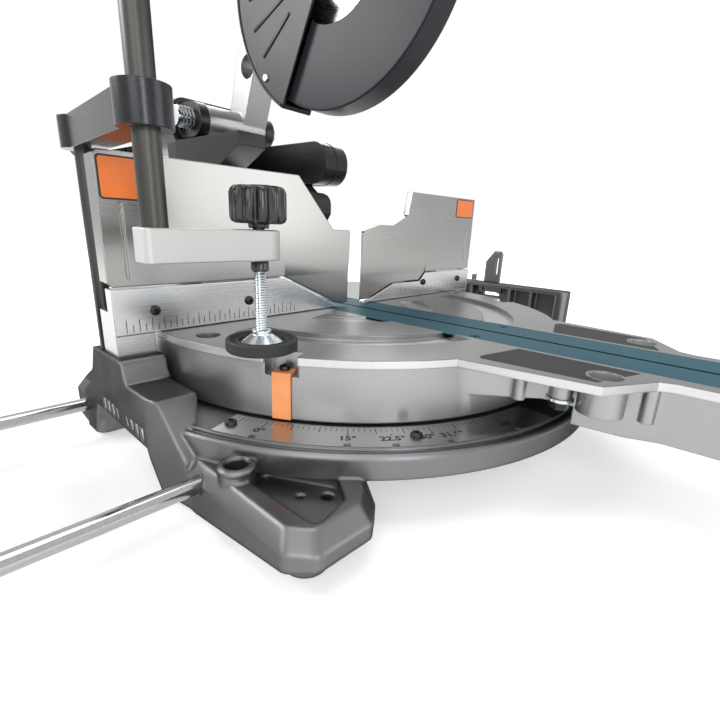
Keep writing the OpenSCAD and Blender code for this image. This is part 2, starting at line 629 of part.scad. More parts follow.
module right_kerf_plate() color(teal) turned() kerf_plate();
module table_screws() color(black) turned() both_sides() {
  at_kerf_screws() zbar(4.3, [-kerf_t - 0.2, -0.8]);
  translate(arm_bolt) {
    zbar(9.5, [-23, -20]);
    zbar(3, [-20, -12.5]);
    translate([0, 0, -29]) cylinder(r = 7, h = 6, $fn = 6);
  }
  at_pointer() translate([table_r - 9.5, 0, 0]) zbar(4, [pointer_top, pointer_top + 4]);
}
module mitre_pointers() color(orange) turned() both_sides() at_pointer() {
  box([table_r - 4, table_r - 1], [-pointer_w / 2, pointer_w / 2], [-skirt_h - 0.5, pointer_top]);
  box([table_r - 14.9, table_r - 1], [-pointer_w / 2, pointer_w / 2], [pointer_top - 3, pointer_top]);
}
module arm_panels() color(dark_steel) turned() both_sides() slab_z([-panel_t, -0.1]) panel2d();
grip_len = 78;
module mitre_lock_grip() color(black) turned() translate([0, 0, lock_z]) {
  ybar(lock_d / 2, [-arm_end - 2, -arm_end + 24]);
  translate([0, -arm_end - 2, 0]) rotate([90, 0, 0]) {
    linear_extrude(12) circle(15);
    translate([0, 0, 12]) linear_extrude(grip_len - 20) fluted2d(21, 6, 2.2);
    translate([0, 0, grip_len - 8]) cylinder(r1 = 19, r2 = 13, h = 8);
  }
}
module detent_lever() color(black) turned() {
  slab_x([-12, 12]) polygon([[-arm_end - 13, -4.5], [-arm_end - 12, -0.6], [-arm_end + 12, -0.6],
    [-arm_end + 14, -3], [-arm_end + 14, -12], [-arm_end + 8, -13], [-arm_end + 5, -5]]);
  translate([0, detent_pin[0], detent_pin[1]]) xbar(2, [-17, 17]);
}

// Tilting arm with the slide bearings and the dust duct

rail_x = 15;
block_y = [hinge_y + 30, hinge_y + 150];
bush_t = 3;
bush_l = 30;
module at_rails() for (s = [-1, 1]) translate([rail_x + s * rail_gap / 2, 0, hinge_z]) children();
module trunnion_arm() color(gunmetal) turned() difference() {
  union() {
    ybar(tilt_r, [tilt_face + 0.5, tilt_face + 28]);
    slab_y([tilt_face + 0.5, tilt_face + 46]) polygon([[-tilt_r, 0], [-tilt_r, 30],
      [rail_x - 66, hinge_z - 30], [rail_x - 66, hinge_z], [rail_x + 66, hinge_z],
      [rail_x + 66, hinge_z - 30], [tilt_r, 30], [tilt_r, 0], [0, -10]]);
    slab_y(block_y) round2d([rail_x - 72, rail_x + 72], [hinge_z - 32, hinge_z + 30], 20);
  }
  box([-200, 200], [0, block_y[0]], [hinge_z - 32, hinge_z + 60]);
  at_rails() {
    ybar(rail_d / 2 + 0.5, [block_y[0] - 60, block_y[1] + 1]);
    ybar(rail_d / 2 + bush_t, [block_y[0] - 1, block_y[0] + bush_l]);
    ybar(rail_d / 2 + bush_t, [block_y[1] - bush_l, block_y[1] + 1]);
  }
  ybar(10 + run, [0, tilt_face + 60]);
  translate([0, (block_y[0] + block_y[1]) / 2, hinge_z]) xbar(5 + run, [rail_x + 50, rail_x + 80]);
  slab_y([tilt_face + 6, tilt_face + 80]) polygon([[-18, 62], [-30, hinge_z - 46],
    [rail_x + 40, hinge_z - 46], [24, 62]]);
}
module bevel_bolt() color(steel) turned() {
  ybar(10, [tilt_face - 26, tilt_face + 56]);
  ybar(16, [tilt_face - 34, tilt_face - 26]);
}
lever_y = [tilt_face + 47, tilt_face + 61];
lever_tip = [92, -8];
module bevel_lock_lever() color(black) turned() difference() {
  union() {
    ybar(18, lever_y);
    slab_y([lever_y[0] + 2, lever_y[1]]) link2d([0, 0], lever_tip, 8);
    translate([lever_tip[0], 0, lever_tip[1]]) ybar(11, [lever_y[0] + 1, lever_y[1] + 18]);
  }
  ybar(10 + run, [0, tilt_face + 57]);
}
module slide_bushes() color("#8c6d3a") turned() at_rails() for (y = [block_y[0],
  block_y[1] - bush_l + 0.01])
  difference() {
    ybar(rail_d / 2 + bush_t - 0.01, [y, y + bush_l - 0.01]);
    ybar(rail_d / 2 + run, [y - 1, y + bush_l + 1]);
  }
module slide_lock_knob() color(black) turned() translate([rail_x, (block_y[0] + block_y[1]) / 2,
  hinge_z]) {
  xbar(5, [64, 72]);
  xbar(5, [72, 78]);
  translate([78, 0, 0]) rotate([0, 90, 0]) linear_extrude(18) fluted2d(17, 8, 2.2);
}
duct_x = [26, 64];
duct_y = [72, tilt_face + 0.5];
duct_z = [138, hinge_z - 28];
duct_nose = [22, 24];
port_d = 38;
port_y = 205;
port_z = 168;
nozzle_x = [duct_x[0], duct_x[0] + 18];
// Side of the duct: a long box with a round nose
module duct2d() {
  translate([duct_y[0] + duct_nose[0], duct_z[0] + duct_nose[0]]) circle(duct_nose[0]);
  translate([duct_y[0] + duct_nose[1], duct_z[1] - duct_nose[1]]) circle(duct_nose[1]);
  polygon([[duct_y[0], duct_z[0] + duct_nose[0]], [duct_y[0] + duct_nose[0], duct_z[0]],
    [duct_y[1], duct_z[0]], duct_far, [duct_y[0] + duct_nose[1], duct_z[1]],
    [duct_y[0], duct_z[1] - duct_nose[1]]]);
}
duct_far = [duct_y[1], duct_z[1]];
// The duct and a closed fairing on the other side of the blade's path, joined behind it
module dust_duct() color(black) turned() difference() {
  union() {
    slab_x(duct_x) duct2d();
    slab_x([-duct_x[1], -duct_x[0]]) polygon([[duct_y[0] + 50, duct_z[1] - 14],
      [duct_y[0] + 122, duct_z[0]], [duct_y[1], duct_z[0]], duct_far, [duct_y[0] + 50, duct_z[1]]]);
    box([-duct_x[1], duct_x[1]], [duct_y[1] - 16, duct_y[1]], duct_z);
    translate([0, port_y, port_z]) xbar(port_d / 2, [duct_x[1] - 2, duct_x[1] + 32]);
  }
  box([duct_x[0] + 3, duct_x[1] - 3], [duct_y[0] + 20, duct_y[1] - 20],
    [duct_z[0] + 4, duct_z[1] - 2.5]);
  translate([0, port_y, port_z]) xbar(port_d / 2 - 2.5, [duct_x[1] - 12, duct_x[1] + 33]);
  box([nozzle_x[0] + 3, nozzle_x[1] - 3], [119, 139], [duct_z[0] - 1, duct_z[0] + 20]);
}
// Nozzle: a bent rubber tube from the mouth behind the blade up into the duct
nozzle_foot = 87;
module dust_nozzle() color(rubber) turned() difference() {
  slab_x(nozzle_x) polygon([[80, nozzle_foot], [104, nozzle_foot], [104, nozzle_foot + 6],
    [121, nozzle_foot + 6], [142, 121], [142, duct_z[0]], [116, duct_z[0]], [103, 128], [94, 128],
    [86, 125], [81.5, 120], [80, 114]]);
  slab_x([nozzle_x[0] + 3, nozzle_x[1] - 3]) polygon([[83, nozzle_foot - 1], [101, nozzle_foot - 1],
    [101, nozzle_foot + 9], [119.5, nozzle_foot + 9], [139, 122], [139, duct_z[0] + 1],
    [119, duct_z[0] + 1], [119, 136.5], [104, 125], [95, 125], [88, 122.5], [84.2, 118.5], [83, 114]]);
  slab_x([nozzle_x[0] - 1, nozzle_x[1] + 1]) polygon([[79, nozzle_foot - 1], [79, 104],
    [92, nozzle_foot - 1]]);
}

// Sliding carriage: rails through the bearings, with the chop hinge at their front end

rail_end = block_y[1] + slide_travel + 12;
cheek = [[-44.5, -30.5], [60.5, 74.5]];
module slide_rails() color(steel) turned() at_rails() difference() {
  ybar(rail_d / 2, [hinge_y + 23.5, rail_end + 8]);
  ybar(rail_d / 2 - 3, [hinge_y + 22, rail_end + 9]);
}
module rail_end_plate() color(dark_steel) turned() difference() {
  slab_y([rail_end, rail_end + 14]) round2d([rail_x - 70, rail_x + 70],
    [hinge_z - 24, hinge_z + 24], 22);
  at_rails() ybar(rail_d / 2 + 0.01, [rail_end - 1, rail_end + 8]);
}
module carriage() color(gunmetal) turned() difference() {
  union() {
    slab_y([hinge_y + 23.5, hinge_y + 29.5]) round2d([rail_x - 66, rail_x + 66],
      [hinge_z - 26, hinge_z + 26], 20);
    for (c = cheek) slab_x(c) {
      translate([hinge_y, hinge_z]) circle(21);
      translate([hinge_y, hinge_z - 21]) square([26, 42]);
    }
  }
  translate([0, hinge_y, hinge_z]) xbar(hinge_d / 2 + 0.01, [-100, 100]);
  at_rails() ybar(rail_d / 2 + 0.01, [hinge_y + 23.5, hinge_y + 40]);
}
pin_x = [-66, 80];
module hinge_pin() color(steel) turned() translate([0, hinge_y, hinge_z]) {
  xbar(hinge_d / 2, pin_x);
  xbar(hinge_d / 2 + 4, [pin_x[0] - 4, pin_x[0]]);
  xbar(hinge_d / 2 + 4, [pin_x[1], pin_x[1] + 4]);
}
// Return spring: a helix of wire round the hinge pin, outside the left cheek
spring_turns = 4;
spring_wire = 1.4;
spring_r = hinge_d / 2 + 4.4;
spring_x = [pin_x[0] + spring_wire + 0.02, cheek[0][0] - spring_wire - 0.02];
spring_rings = 8;
spring_sides = 6;
spring_steps = spring_turns * spring_rings;
spring_pitch = (spring_x[1] - spring_x[0]) / spring_turns;
function spring_mid(i) = [spring_x[0] + spring_pitch * i / spring_rings,
  spring_r * cos(360 * i / spring_rings), spring_r * sin(360 * i / spring_rings)];
function spring_point(i, j) = let (a = 360 * i / spring_rings, b = 360 * j / spring_sides)
  spring_mid(i) + spring_wire * [sin(b), cos(b) * cos(a), cos(b) * sin(a)];
spring_points = [for (i = [0 : spring_steps], j = [0 : spring_sides - 1]) spring_point(i, j)];
function ring_at(i, j) = i * spring_sides + (j % spring_sides);
spring_faces = concat(
  [for (i = [0 : spring_steps - 1], j = [0 : spring_sides - 1], t = [0, 1])
    t == 0 ? [ring_at(i, j), ring_at(i + 1, j), ring_at(i + 1, j + 1)] : [ring_at(i, j), ring_at(i + 1,
      j + 1), ring_at(i, j + 1)]], [for (j = [1 : spring_sides - 2]) [0, j, j + 1]],
      [for (j = [1 : spring_sides - 2]) [ring_at(spring_steps, 0), ring_at(spring_steps, j + 1),
      ring_at(spring_steps, j)]]);
spring_self_gap = min([for (i = [0 : spring_steps],
  k = [0 : spring_steps]) if (k - i >= spring_rings / 2)
  norm(spring_mid(i) - spring_mid(k)) - 2 * spring_wire]);
echo(spring_self_gap = spring_self_gap);
module return_spring() color(steel) turned() translate([0, hinge_y, hinge_z]) polyhedron(spring_points,
  spring_faces);

// Head: casting, hood, drive, blade, guard, handle and battery, drawn lowered about the blade axis

hinge_at = [hinge_y - blade_y, drop];
motor_z = 60;
motor_r = 40;
motor_x = [60.5, 168];
case_x = [22.5, 60];
hood_r = blade_r + 18;
hood_x = 22;
guard_r = blade_r + 8.5;
guard_x = 14;
boss_r = 31.5;
pulley_x = [40, 54];
spindle_pulley_r = 18;
motor_pulley_r = 16;
belt_t = 2.2;
barrel_x = [-30, 60];
module case2d(r0, r1) {
  link2d([0, 0], [0, 20], r0);
  translate([0, motor_z]) circle(r1);
  polygon([[-r0, 0], [r0, 0], [r1, motor_z], [-r1, motor_z]]);
}
module head_casting() color(cast_alu) head() difference() {
  union() {
    slab_x(case_x) {
      case2d(25, 44);
      polygon([[20, motor_z], [40, motor_z + 18], [58, motor_z + 34], [112, hinge_at[1] + 20],
        [hinge_at[0], hinge_at[1] - 18], [hinge_at[0], hinge_at[1] + 20], [120, hinge_at[1] + 62],
        [40, motor_z + 44], [0, motor_z + 44]]);
    }
    xbar(boss_r, [12.5, case_x[0]]);
    translate([0, hinge_at[0], hinge_at[1]]) xbar(20, barrel_x);
  }
  xbar(10 + run, [11, 21]);
  xbar(10 + 9, [20, 30]);
  slab_x([30, case_x[1] - 3]) case2d(22.5, 21);
  translate([0, 0, motor_z]) xbar(23, [30, case_x[1] + 1]);
  xbar(10 + run, [case_x[1] - 4, case_x[1] - 0.5]);
  translate([0, hinge_at[0], hinge_at[1]]) xbar(hinge_d / 2 + run, [-100, 100]);
  translate([0, 165, hinge_at[1] + 20]) xbar(14, [0, 100]);
  translate([0, 122, hinge_at[1] + 36]) xbar(13, [0, 100]);
}
// Hood: a flat drum over the upper half of the blade, open below
module hood_sector(r, x) difference() {
  xbar(r, x);
  box([-100, 100], [-200, 0], [-200, 0]);
  rotate([-10, 0, 0]) box([-100, 100], [-1, 200], [-200, 0]);
}
module blade_hood() color(black) head() difference() {
  union() {
    hood_sector(hood_r, [-hood_x, hood_x], $fn = 180);
    slab_x([-hood_x, hood_x]) difference() {
      intersection() {
        circle(hood_r + 10, $fn = 180);
        polygon([[-hood_r - 20, 18], [-hood_r - 20, 70], [-108, 118], [-90, 60]]);
      }
      circle(hood_r - 2, $fn = 180);
    }
  }
  xbar(hood_r - 5, [-hood_x + 3, hood_x - 3], $fn = 180);
  xbar(boss_r + 0.6, [0, 100]);
  xbar(36, [-100, 0]);
}
module motor_housing() color(black) head() translate([0, 0, motor_z]) difference() {
  union() {
    xbar(motor_r, motor_x);
    xbar(motor_r + 3, [motor_x[0], motor_x[0] + 14]);
    translate([motor_x[1], 0, 0]) rotate([0, 90, 0]) cylinder(r1 = motor_r, r2 = motor_r - 10, h = 12);
    box([74, 160], [20, 52], [-28, 50]);
  }
  xbar(motor_r - 4, [motor_x[0] + 6, motor_x[1] - 4]);
  xbar(12, [motor_x[0] - 1, motor_x[0] + 7]);
  xbar(8.01, [motor_x[1] - 5, motor_x[1] + 4]);
  for (i = [0 : 7]) rotate([i * 45 + 22, 0, 0]) box([motor_x[1] - 34, motor_x[1] - 12], [-4, 4],
    [motor_r - 12, motor_r + 6]);
}
module motor_stator() color("#8a5a2b") head() translate([0, 0, motor_z]) difference() {
  xbar(motor_r - 4.01, [84, 130]);
  xbar(25, [80, 140]);
}
module motor_rotor() color(steel) head() translate([0, 0, motor_z]) {
  xbar(6, [36, motor_x[1] + 3]);
  xbar(24, [86, 128]);
  xbar(motor_pulley_r, [pulley_x[0], pulley_x[1]]);
  xbar(8 - run, [motor_x[1] - 3.5, motor_x[1] + 3]);
}
module belt2d(grow) {
  translate([0, motor_z]) circle(motor_pulley_r + pass + grow);
  circle(spindle_pulley_r + pass + grow);
  polygon([[-spindle_pulley_r - pass - grow, 0], [spindle_pulley_r + pass + grow, 0],
    [motor_pulley_r + pass + grow, motor_z], [-motor_pulley_r - pass - grow, motor_z]]);
}
module drive_belt() color(rubber) head() slab_x([pulley_x[0] + 1, pulley_x[1] - 1]) difference() {
  belt2d(belt_t);
  belt2d(0);
}
flange_r = 28;
module spindle() color(steel) head() difference() {
  union() {
    xbar(10, [blade_t / 2, case_x[1] - 1]);
    xbar(flange_r, [blade_t / 2, 9]);
    xbar(spindle_pulley_r, pulley_x);
    xbar(blade_bore / 2 - run, [-blade_t / 2, blade_t / 2]);
  }
  xbar(5.01, [-20, 26]);
}
module blade_clamp() color(steel) head() {
  xbar(flange_r, [-8, -blade_t / 2]);
  xbar(5, [-8, 24]);
  translate([-15, 0, 0]) rotate([0, 90, 0]) cylinder(r = 9, h = 7, $fn = 6);
}
tooth = 360 / blade_teeth;
module saw_blade() color(steel) head() slab_x([-blade_t / 2, blade_t / 2]) difference() {
  polygon([for (i = [0 : blade_teeth - 1], p = [[0, 0], [0.12, -6.5], [0.42, -6.5], [0.72, -1.6]])
    (blade_r + p[1]) * [cos((i + p[0]) * tooth), sin((i + p[0]) * tooth)]]);
  circle(blade_bore / 2);
  for (i = [0 : 4]) rotate(i * 72) translate([blade_r * 0.62, 0]) circle(2.5);
}
// Guard: a thin drum over the part of the blade that the hood leaves open, on a ring round the gear case's boss
guard_t = 2;
module lower_guard() color("#3a3d42") head() difference() {
  union() {
    difference() {
      xbar(guard_r, [-guard_x, guard_x], $fn = 180);
      xbar(guard_r - 3, [-guard_x + guard_t, guard_x - guard_t], $fn = 180);
      xbar(60, [-guard_x - 1, 0]);
      rotate([-8, 0, 0]) box([-20, 20], [-40, 200], [0, 200]);
      rotate([-2, 0, 0]) box([-20, 20], [-200, 1], [0, 200]);
    }
    xbar(46, [guard_x - guard_t - 0.5, guard_x + 1]);
  }
  xbar(boss_r + pass, [0, 50]);
}
// Handle: an upright loop on the front of the hood, with the trigger inside it
loop = [[-248, -150], [12, 124]];
loop_x = [-18, 18];
grip_t = 27;
trigger_pin = [loop[0][0] + 13, 58];
module handle_grip() color(black) head() difference() {
  slab_x(loop_x) difference() {
    union() {
      round2d(loop[0], loop[1], 28);
      polygon([[loop[0][1] - 20, 20], [-100, 30], [-112, 96], [loop[0][1] - 12, 118]]);
    }
    round2d([loop[0][0] + grip_t, loop[0][1] - 18], [loop[1][0] + 25, loop[1][1] - 25], 15);
  }
  xbar(hood_r + 10.1, [-30, 30]);
  box([-7.5, 7.5], [loop[0][0] + 5, loop[0][0] + grip_t + 1], [48, 92]);
  translate([0, trigger_pin[0], trigger_pin[1]]) xbar(2.5 + run, [-12, 12]);
  box([-5, 20], [loop[0][0] + 8, loop[0][0] + 18], [97, 107]);
}
module trigger() color(orange) head() {
  translate([0, loop[0][0], 0]) slab_x([-7, 7]) polygon([[12, 55], [36, 56], [40, 64], [35, 84],
    [24, 88], [12, 74]]);
  translate([0, trigger_pin[0], trigger_pin[1]]) xbar(2.5, [-11, 11]);
}
module lock_off_button() color(black) head() box([2, 23], [loop[0][0] + 8.4, loop[0][0] + 17.6],
  [97.4, 106.6]);
// Battery: slides on a shoe behind the motor, from the right
battery_x = [76, 158];
battery_y = [52.5, 118];
battery_z = [motor_z - 30, motor_z + 46];
module battery_pack() color(black) head() difference() {
  union() {
    slab_x(battery_x) round2d(battery_y, battery_z, 9);
    slab_x([battery_x[0] + 6, battery_x[1] - 6]) round2d([battery_y[0] + 12, battery_y[1] + 5],
      [battery_z[0] + 10, battery_z[1] - 10], 7);
  }
  box([battery_x[1] - 14, battery_x[1] + 1], [82, 104], [battery_z[1] - 8, battery_z[1] + 1]);
}
module battery_latch() color(orange) head() box([battery_x[1] - 13, battery_x[1] - 1.5],
  [82.5, 103.5], [battery_z[1] - 4.5, battery_z[1] + 1]);

base_casting();
rubber_feet();
mitre_scales();
base_screws();
left_lower_fence();
right_lower_fence();
pivot_bolt();
left_upper_fence();
right_upper_fence();
left_fence_knob();
right_fence_knob();
left_wing_rods();
left_wing_end();
left_wing_stop();
right_wing_rods();
right_wing_end();
right_wing_stop();
clamp_rod();
clamp_top_arm();
clamp_post();
clamp_arm();
clamp_screw();
clamp_knob();
clamp_foot();
clamp_pad();
turntable();
left_kerf_plate();
right_kerf_plate();
table_screws();
mitre_pointers();
arm_panels();
mitre_lock_grip();
detent_lever();
trunnion_arm();
bevel_bolt();
bevel_lock_lever();
slide_bushes();
slide_lock_knob();
dust_duct();
dust_nozzle();
slide_rails();
rail_end_plate();
carriage();
hinge_pin();
return_spring();
head_casting();
blade_hood();
motor_housing();
motor_stator();
motor_rotor();
drive_belt();
spindle();
blade_clamp();
saw_blade();
lower_guard();
handle_grip();
trigger();
lock_off_button();
battery_pack();
battery_latch();
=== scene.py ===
"""Cordless sliding mitre saw on a pale studio floor, seen from its front left corner."""

import math

import bmesh
import bpy
from mathutils import Matrix, Vector


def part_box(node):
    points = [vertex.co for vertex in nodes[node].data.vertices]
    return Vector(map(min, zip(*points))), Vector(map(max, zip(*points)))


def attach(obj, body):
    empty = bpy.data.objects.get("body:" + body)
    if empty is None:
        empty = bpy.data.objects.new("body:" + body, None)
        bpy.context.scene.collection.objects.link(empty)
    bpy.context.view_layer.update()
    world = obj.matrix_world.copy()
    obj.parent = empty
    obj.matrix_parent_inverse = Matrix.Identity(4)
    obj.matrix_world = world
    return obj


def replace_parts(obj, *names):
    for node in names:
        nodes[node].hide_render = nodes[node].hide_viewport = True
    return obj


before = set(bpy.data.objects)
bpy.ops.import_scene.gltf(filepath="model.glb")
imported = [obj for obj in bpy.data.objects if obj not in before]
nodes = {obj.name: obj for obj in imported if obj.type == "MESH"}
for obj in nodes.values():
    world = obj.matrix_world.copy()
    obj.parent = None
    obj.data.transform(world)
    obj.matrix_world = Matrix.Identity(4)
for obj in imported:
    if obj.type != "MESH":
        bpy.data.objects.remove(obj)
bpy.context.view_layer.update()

# Base casting: one aluminium casting with the feet, the side walls and the ring under the table.
# It is shot-blasted and sprayed satin gunmetal, so its skin keeps a fine cast grain and its edges
# are soft from the mould.


class Ink:
    """A shader socket: sums and products of inks add their own Math nodes to the finish."""

    def __init__(self, tree, socket=None):
        self.tree = tree
        self.socket = socket

    def node(self, kind, out=0, settings=None, **values):
        """Adds a node. Values go to inputs by name, or by number where they are called _at0 and so on."""
        made = self.tree.nodes.new("ShaderNode" + kind)
        for key, value in (settings or {}).items():
            setattr(made, key, value)
        for key, value in values.items():
            name = int(key[3:]) if key.startswith("_at") else key.replace("_", " ")
            if isinstance(value, Ink):
                self.tree.links.new(value.socket, made.inputs[name])
            else:
                made.inputs[name].default_value = value
        return Ink(self.tree, made.outputs[out] if made.outputs else None)

    def maths(self, operation, a, b=0.0):
        return self.node("Math", settings={"operation": operation}, _at0=a, _at1=b)

    def __add__(self, other):
        return self.maths("ADD", self, other)

    def __sub__(self, other):
        return self.maths("SUBTRACT", self, other)

    def __rsub__(self, other):
        return self.maths("SUBTRACT", other, self)

    def __mul__(self, other):
        return self.maths("MULTIPLY", self, other)

    __radd__, __rmul__ = __add__, __mul__

    def above(self, level, blur):
        """0 below a level and 1 above it, with a soft step."""
        return self.node("MapRange", settings={"interpolation_type": "SMOOTHSTEP"}, Value=self,
                         From_Min=level - blur, From_Max=level + blur)

    def tint(self, low, high):
        """From one colour to another as this value goes from 0 to 1. Each is an ink or three numbers."""
        low, high = (c if isinstance(c, Ink) else (*c, 1) for c in (low, high))
        return self.node("Mix", out=2, settings={"data_type": "RGBA"}, _at0=self, _at6=low, _at7=high)

    def shades(self, colour, low, high):
        """One colour at two strengths, from the low to the high as this value goes from 0 to 1."""
        return self.tint(tuple(c * low for c in colour), tuple(c * high for c in colour))


def bare_finish(name):
    """A material with nothing in it yet, and an ink to draw its nodes from."""
    made = bpy.data.materials.new(name)
    made.use_nodes = True
    made.node_tree.nodes.clear()
    return made, Ink(made.node_tree)


def surface(made, ink, **sockets):
    ink.node("OutputMaterial", Surface=ink.node("BsdfPrincipled", **sockets))
    return made


def grain(ink, size, stretch=(1, 1, 1), detail=2.0):
    """Noise of about this size in metres, longer along the axes that are stretched."""
    place = ink.node("TexCoord", out="Object")
    spread = ink.node("Mapping", Vector=place, Scale=tuple(1 / s for s in stretch))
    return ink.node("TexNoise", Vector=spread, Scale=1 / size, Detail=detail)


def skin(ink, height, depth, strength=0.35, soft_edge=0.0):
    """The surface normal of a fine relief, with the edges eased where a radius is given."""
    eased = {"Normal": ink.node("Bevel", settings={"samples": 6}, Radius=soft_edge)} if soft_edge else {}
    return ink.node("Bump", Strength=strength, Distance=depth, Height=height, **eased)


def cast_finish(name, colour, roughness, metallic=0.9, grain_size=0.0009, depth=0.00009, soft_edge=0.0022,
                slant=1.0):
    """A sprayed or blasted casting with a fine grain. Slant is the share of gleam kept on edge-on faces."""
    made, ink = bare_finish(name)
    fine = grain(ink, grain_size)
    slow = grain(ink, size=0.06)
    return surface(made, ink, Base_Color=slow.shades(colour, low=0.88, high=1.12), Metallic=metallic,
                   Roughness=roughness - 0.04 + 0.04 * fine + 0.05 * slow,
                   Specular_Tint=(slant, slant, slant, 1),
                   Normal=skin(ink, fine, depth, soft_edge=soft_edge))


def dress(name, finish, edge=0.0007):
    """Gives a node its finish, and breaks its sharp edges as a maker would."""
    piece = nodes[name]
    piece.data.materials.clear()
    piece.data.materials.append(finish)
    if edge:
        piece.modifiers.new("join", "WELD").merge_threshold = 1e-6
        flat = piece.modifiers.new("flat", "DECIMATE")
        flat.decimate_type, flat.angle_limit = "DISSOLVE", math.radians(0.2)
        broken = piece.modifiers.new("edge", "BEVEL")
        broken.width, broken.segments = edge, 2
        broken.limit_method, broken.angle_limit = "ANGLE", math.radians(35)
        piece.modifiers.new("even", "WEIGHTED_NORMAL").keep_sharp = False


gunmetal = cast_finish("gunmetal_paint", colour=(0.192, 0.194, 0.200), roughness=0.33, grain_size=0.0006,
                       depth=0.00003, soft_edge=0.004, slant=0.12)
dress("base_casting", gunmetal, edge=0.0012)

# Rubber feet: four moulded pads, black and matt, each with a stem pushed into a round seat
# under the casting.


def rubber_finish():
    made, ink = bare_finish("soft_rubber")
    fine = grain(ink, size=0.0009)
    return surface(made, ink, Base_Color=fine.shades((0.016, 0.016, 0.017), low=0.8, high=1.3),
                   Roughness=0.56 + 0.2 * fine, Normal=skin(ink, fine, depth=0.0001, strength=0.3))


soft_rubber = rubber_finish()
dress("rubber_feet", soft_rubber)

# Mitre scales: thin steel plates screwed to the ring, brushed round the arc and printed with degree
# marks from the zero mark towards the front, with a dot and a number at each stop.


def from_axis(ink):
    """Distance from the axis that the table turns about."""
    place = ink.node("TexCoord", out="Object")
    flat = ink.node("VectorMath", settings={"operation": "MULTIPLY"}, _at0=place, _at1=(1, 1, 0))
    return ink.node("VectorMath", out="Value", settings={"operation": "LENGTH"}, _at0=flat)


def lathe_lines(ink, radius, per_metre):
    """Noise that changes with the radius alone, as a lathe or a spun brush leaves it."""
    return ink.node("TexNoise", settings={"noise_dimensions": "1D"}, W=radius, Scale=per_metre, Detail=2.0)


def scale_finish():
    made, ink = bare_finish("scale_plate")
    rings = lathe_lines(ink, from_axis(ink), per_metre=1 / 0.0006)
    slow = grain(ink, size=0.05)
    return surface(made, ink, Base_Color=rings.shades((0.42, 0.42, 0.41), low=0.86, high=1.08),
                   Metallic=1.0, Roughness=0.20 + 0.12 * rings + 0.08 * slow)


def flat_finish(name, colour, roughness):
    """Print or smooth plastic, with a faint unevenness of colour and gloss."""
    made, ink = bare_finish(name)
    slow = grain(ink, size=0.012)
    return surface(made, ink, Base_Color=slow.shades(colour, low=0.9, high=1.1),
                   Roughness=roughness - 0.04 + 0.08 * slow)


def new_piece(name, shape, finish):
    """Turns a finished bmesh into a piece of the saw, smooth but for its sharp edges."""
    bmesh.ops.recalc_face_normals(shape, faces=shape.faces)
    mesh = bpy.data.meshes.new(name)
    shape.to_mesh(mesh)
    shape.free()
    mesh.shade_smooth()
    mesh.set_sharp_from_angle(angle=math.radians(35))
    mesh.materials.append(finish)
    piece = bpy.data.objects.new(name, mesh)
    bpy.context.scene.collection.objects.link(piece)
    return piece


def blocks(name, places, finish, edge=0.0):
    """One piece made of small blocks, each given by a 4x4 that shapes and places a unit cube."""
    shape = bmesh.new()
    for place in places:
        bmesh.ops.create_cube(shape, size=1, matrix=place)
    if edge:
        bmesh.ops.bevel(shape, geom=shape.edges[:], offset=edge, segments=2, profile=0.5, affect="EDGES")
    return new_piece(name, shape, finish)


def figures(name, words, finish, height, place):
    """Printed figures as a thin mesh, lying in the plane of a 4x4."""
    text = bpy.data.curves.new(name, "FONT")
    text.body, text.size, text.extrude, text.offset = words, height, 0.00002, height * 0.04
    text.align_x, text.align_y = "CENTER", "CENTER"
    written = bpy.data.objects.new(name + "_text", text)
    bpy.context.scene.collection.objects.link(written)
    bpy.context.view_layer.update()
    mesh = bpy.data.meshes.new_from_object(written.evaluated_get(bpy.context.evaluated_depsgraph_get()))
    bpy.data.objects.remove(written)
    mesh.transform(place)
    mesh.materials.clear()
    mesh.materials.append(finish)
    piece = bpy.data.objects.new(name, mesh)
    bpy.context.scene.collection.objects.link(piece)
    return piece


def turned(name, places, rows, finish, around=36, bored=False):
    """One piece of like turned forms, each with its axis along the z axis of a 4x4.

    A row is a radius, a height and, where the form is cut, how the radius changes round the axis.
    A bored form is a ring, open down its middle.
    """
    shape = bmesh.new()
    for place in places:
        rings = []
        for radius, height, *cut in rows:
            ring = []
            for step in range(around):
                turn = 2 * math.pi * step / around
                reach = radius * (cut[0](turn) if cut else 1)
                spot = Vector((reach * math.cos(turn), reach * math.sin(turn), height))
                ring.append(shape.verts.new(place @ spot))
            rings.append(ring)
        if bored:
            rings.append(rings[0])
        for lower, upper in zip(rings, rings[1:]):
            for step in range(around):
                after = (step + 1) % around
                shape.faces.new((lower[step], lower[after], upper[after], upper[step]))
        if not bored:
            shape.faces.new(rings[0][::-1])
            shape.faces.new(rings[-1])
    return new_piece(name, shape, finish)


dress("mitre_scales", scale_finish(), edge=0)
black_print = flat_finish("black_print", colour=(0.010, 0.010, 0.011), roughness=0.5)
scale_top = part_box("mitre_scales")[1].z
zero_mark = math.radians(60.8)
mark_inner, mark_thick = 0.2265, 0.00004
fifth_long, fifth_wide = 0.0085, 0.0007
mark_long, mark_wide = 0.0055, 0.0005
dot_r, dot_ring, dot_stops = 0.0009, 0.2368, (0, 15, 22.5, 30, 45)
number_tall, number_ring = 0.0088, 0.2425
number_stops = ((0, 0), (15, 0), (22.5, 0), (30, -1.5), (31.6, 1.5), (45, 0))  # degrees, and a shift


def on_scale(side, degrees, radius):
    """Matrix of a place on the left (-1) or right (1) scale, its y axis towards the table's centre."""
    away = zero_mark - math.radians(degrees)
    out = Vector((side * math.sin(away), -math.cos(away), 0))
    spot = out * radius
    return Matrix(((-out.y, -out.x, 0, spot.x), (out.x, -out.y, 0, spot.y),
                   (0, 0, 1, scale_top), (0, 0, 0, 1)))


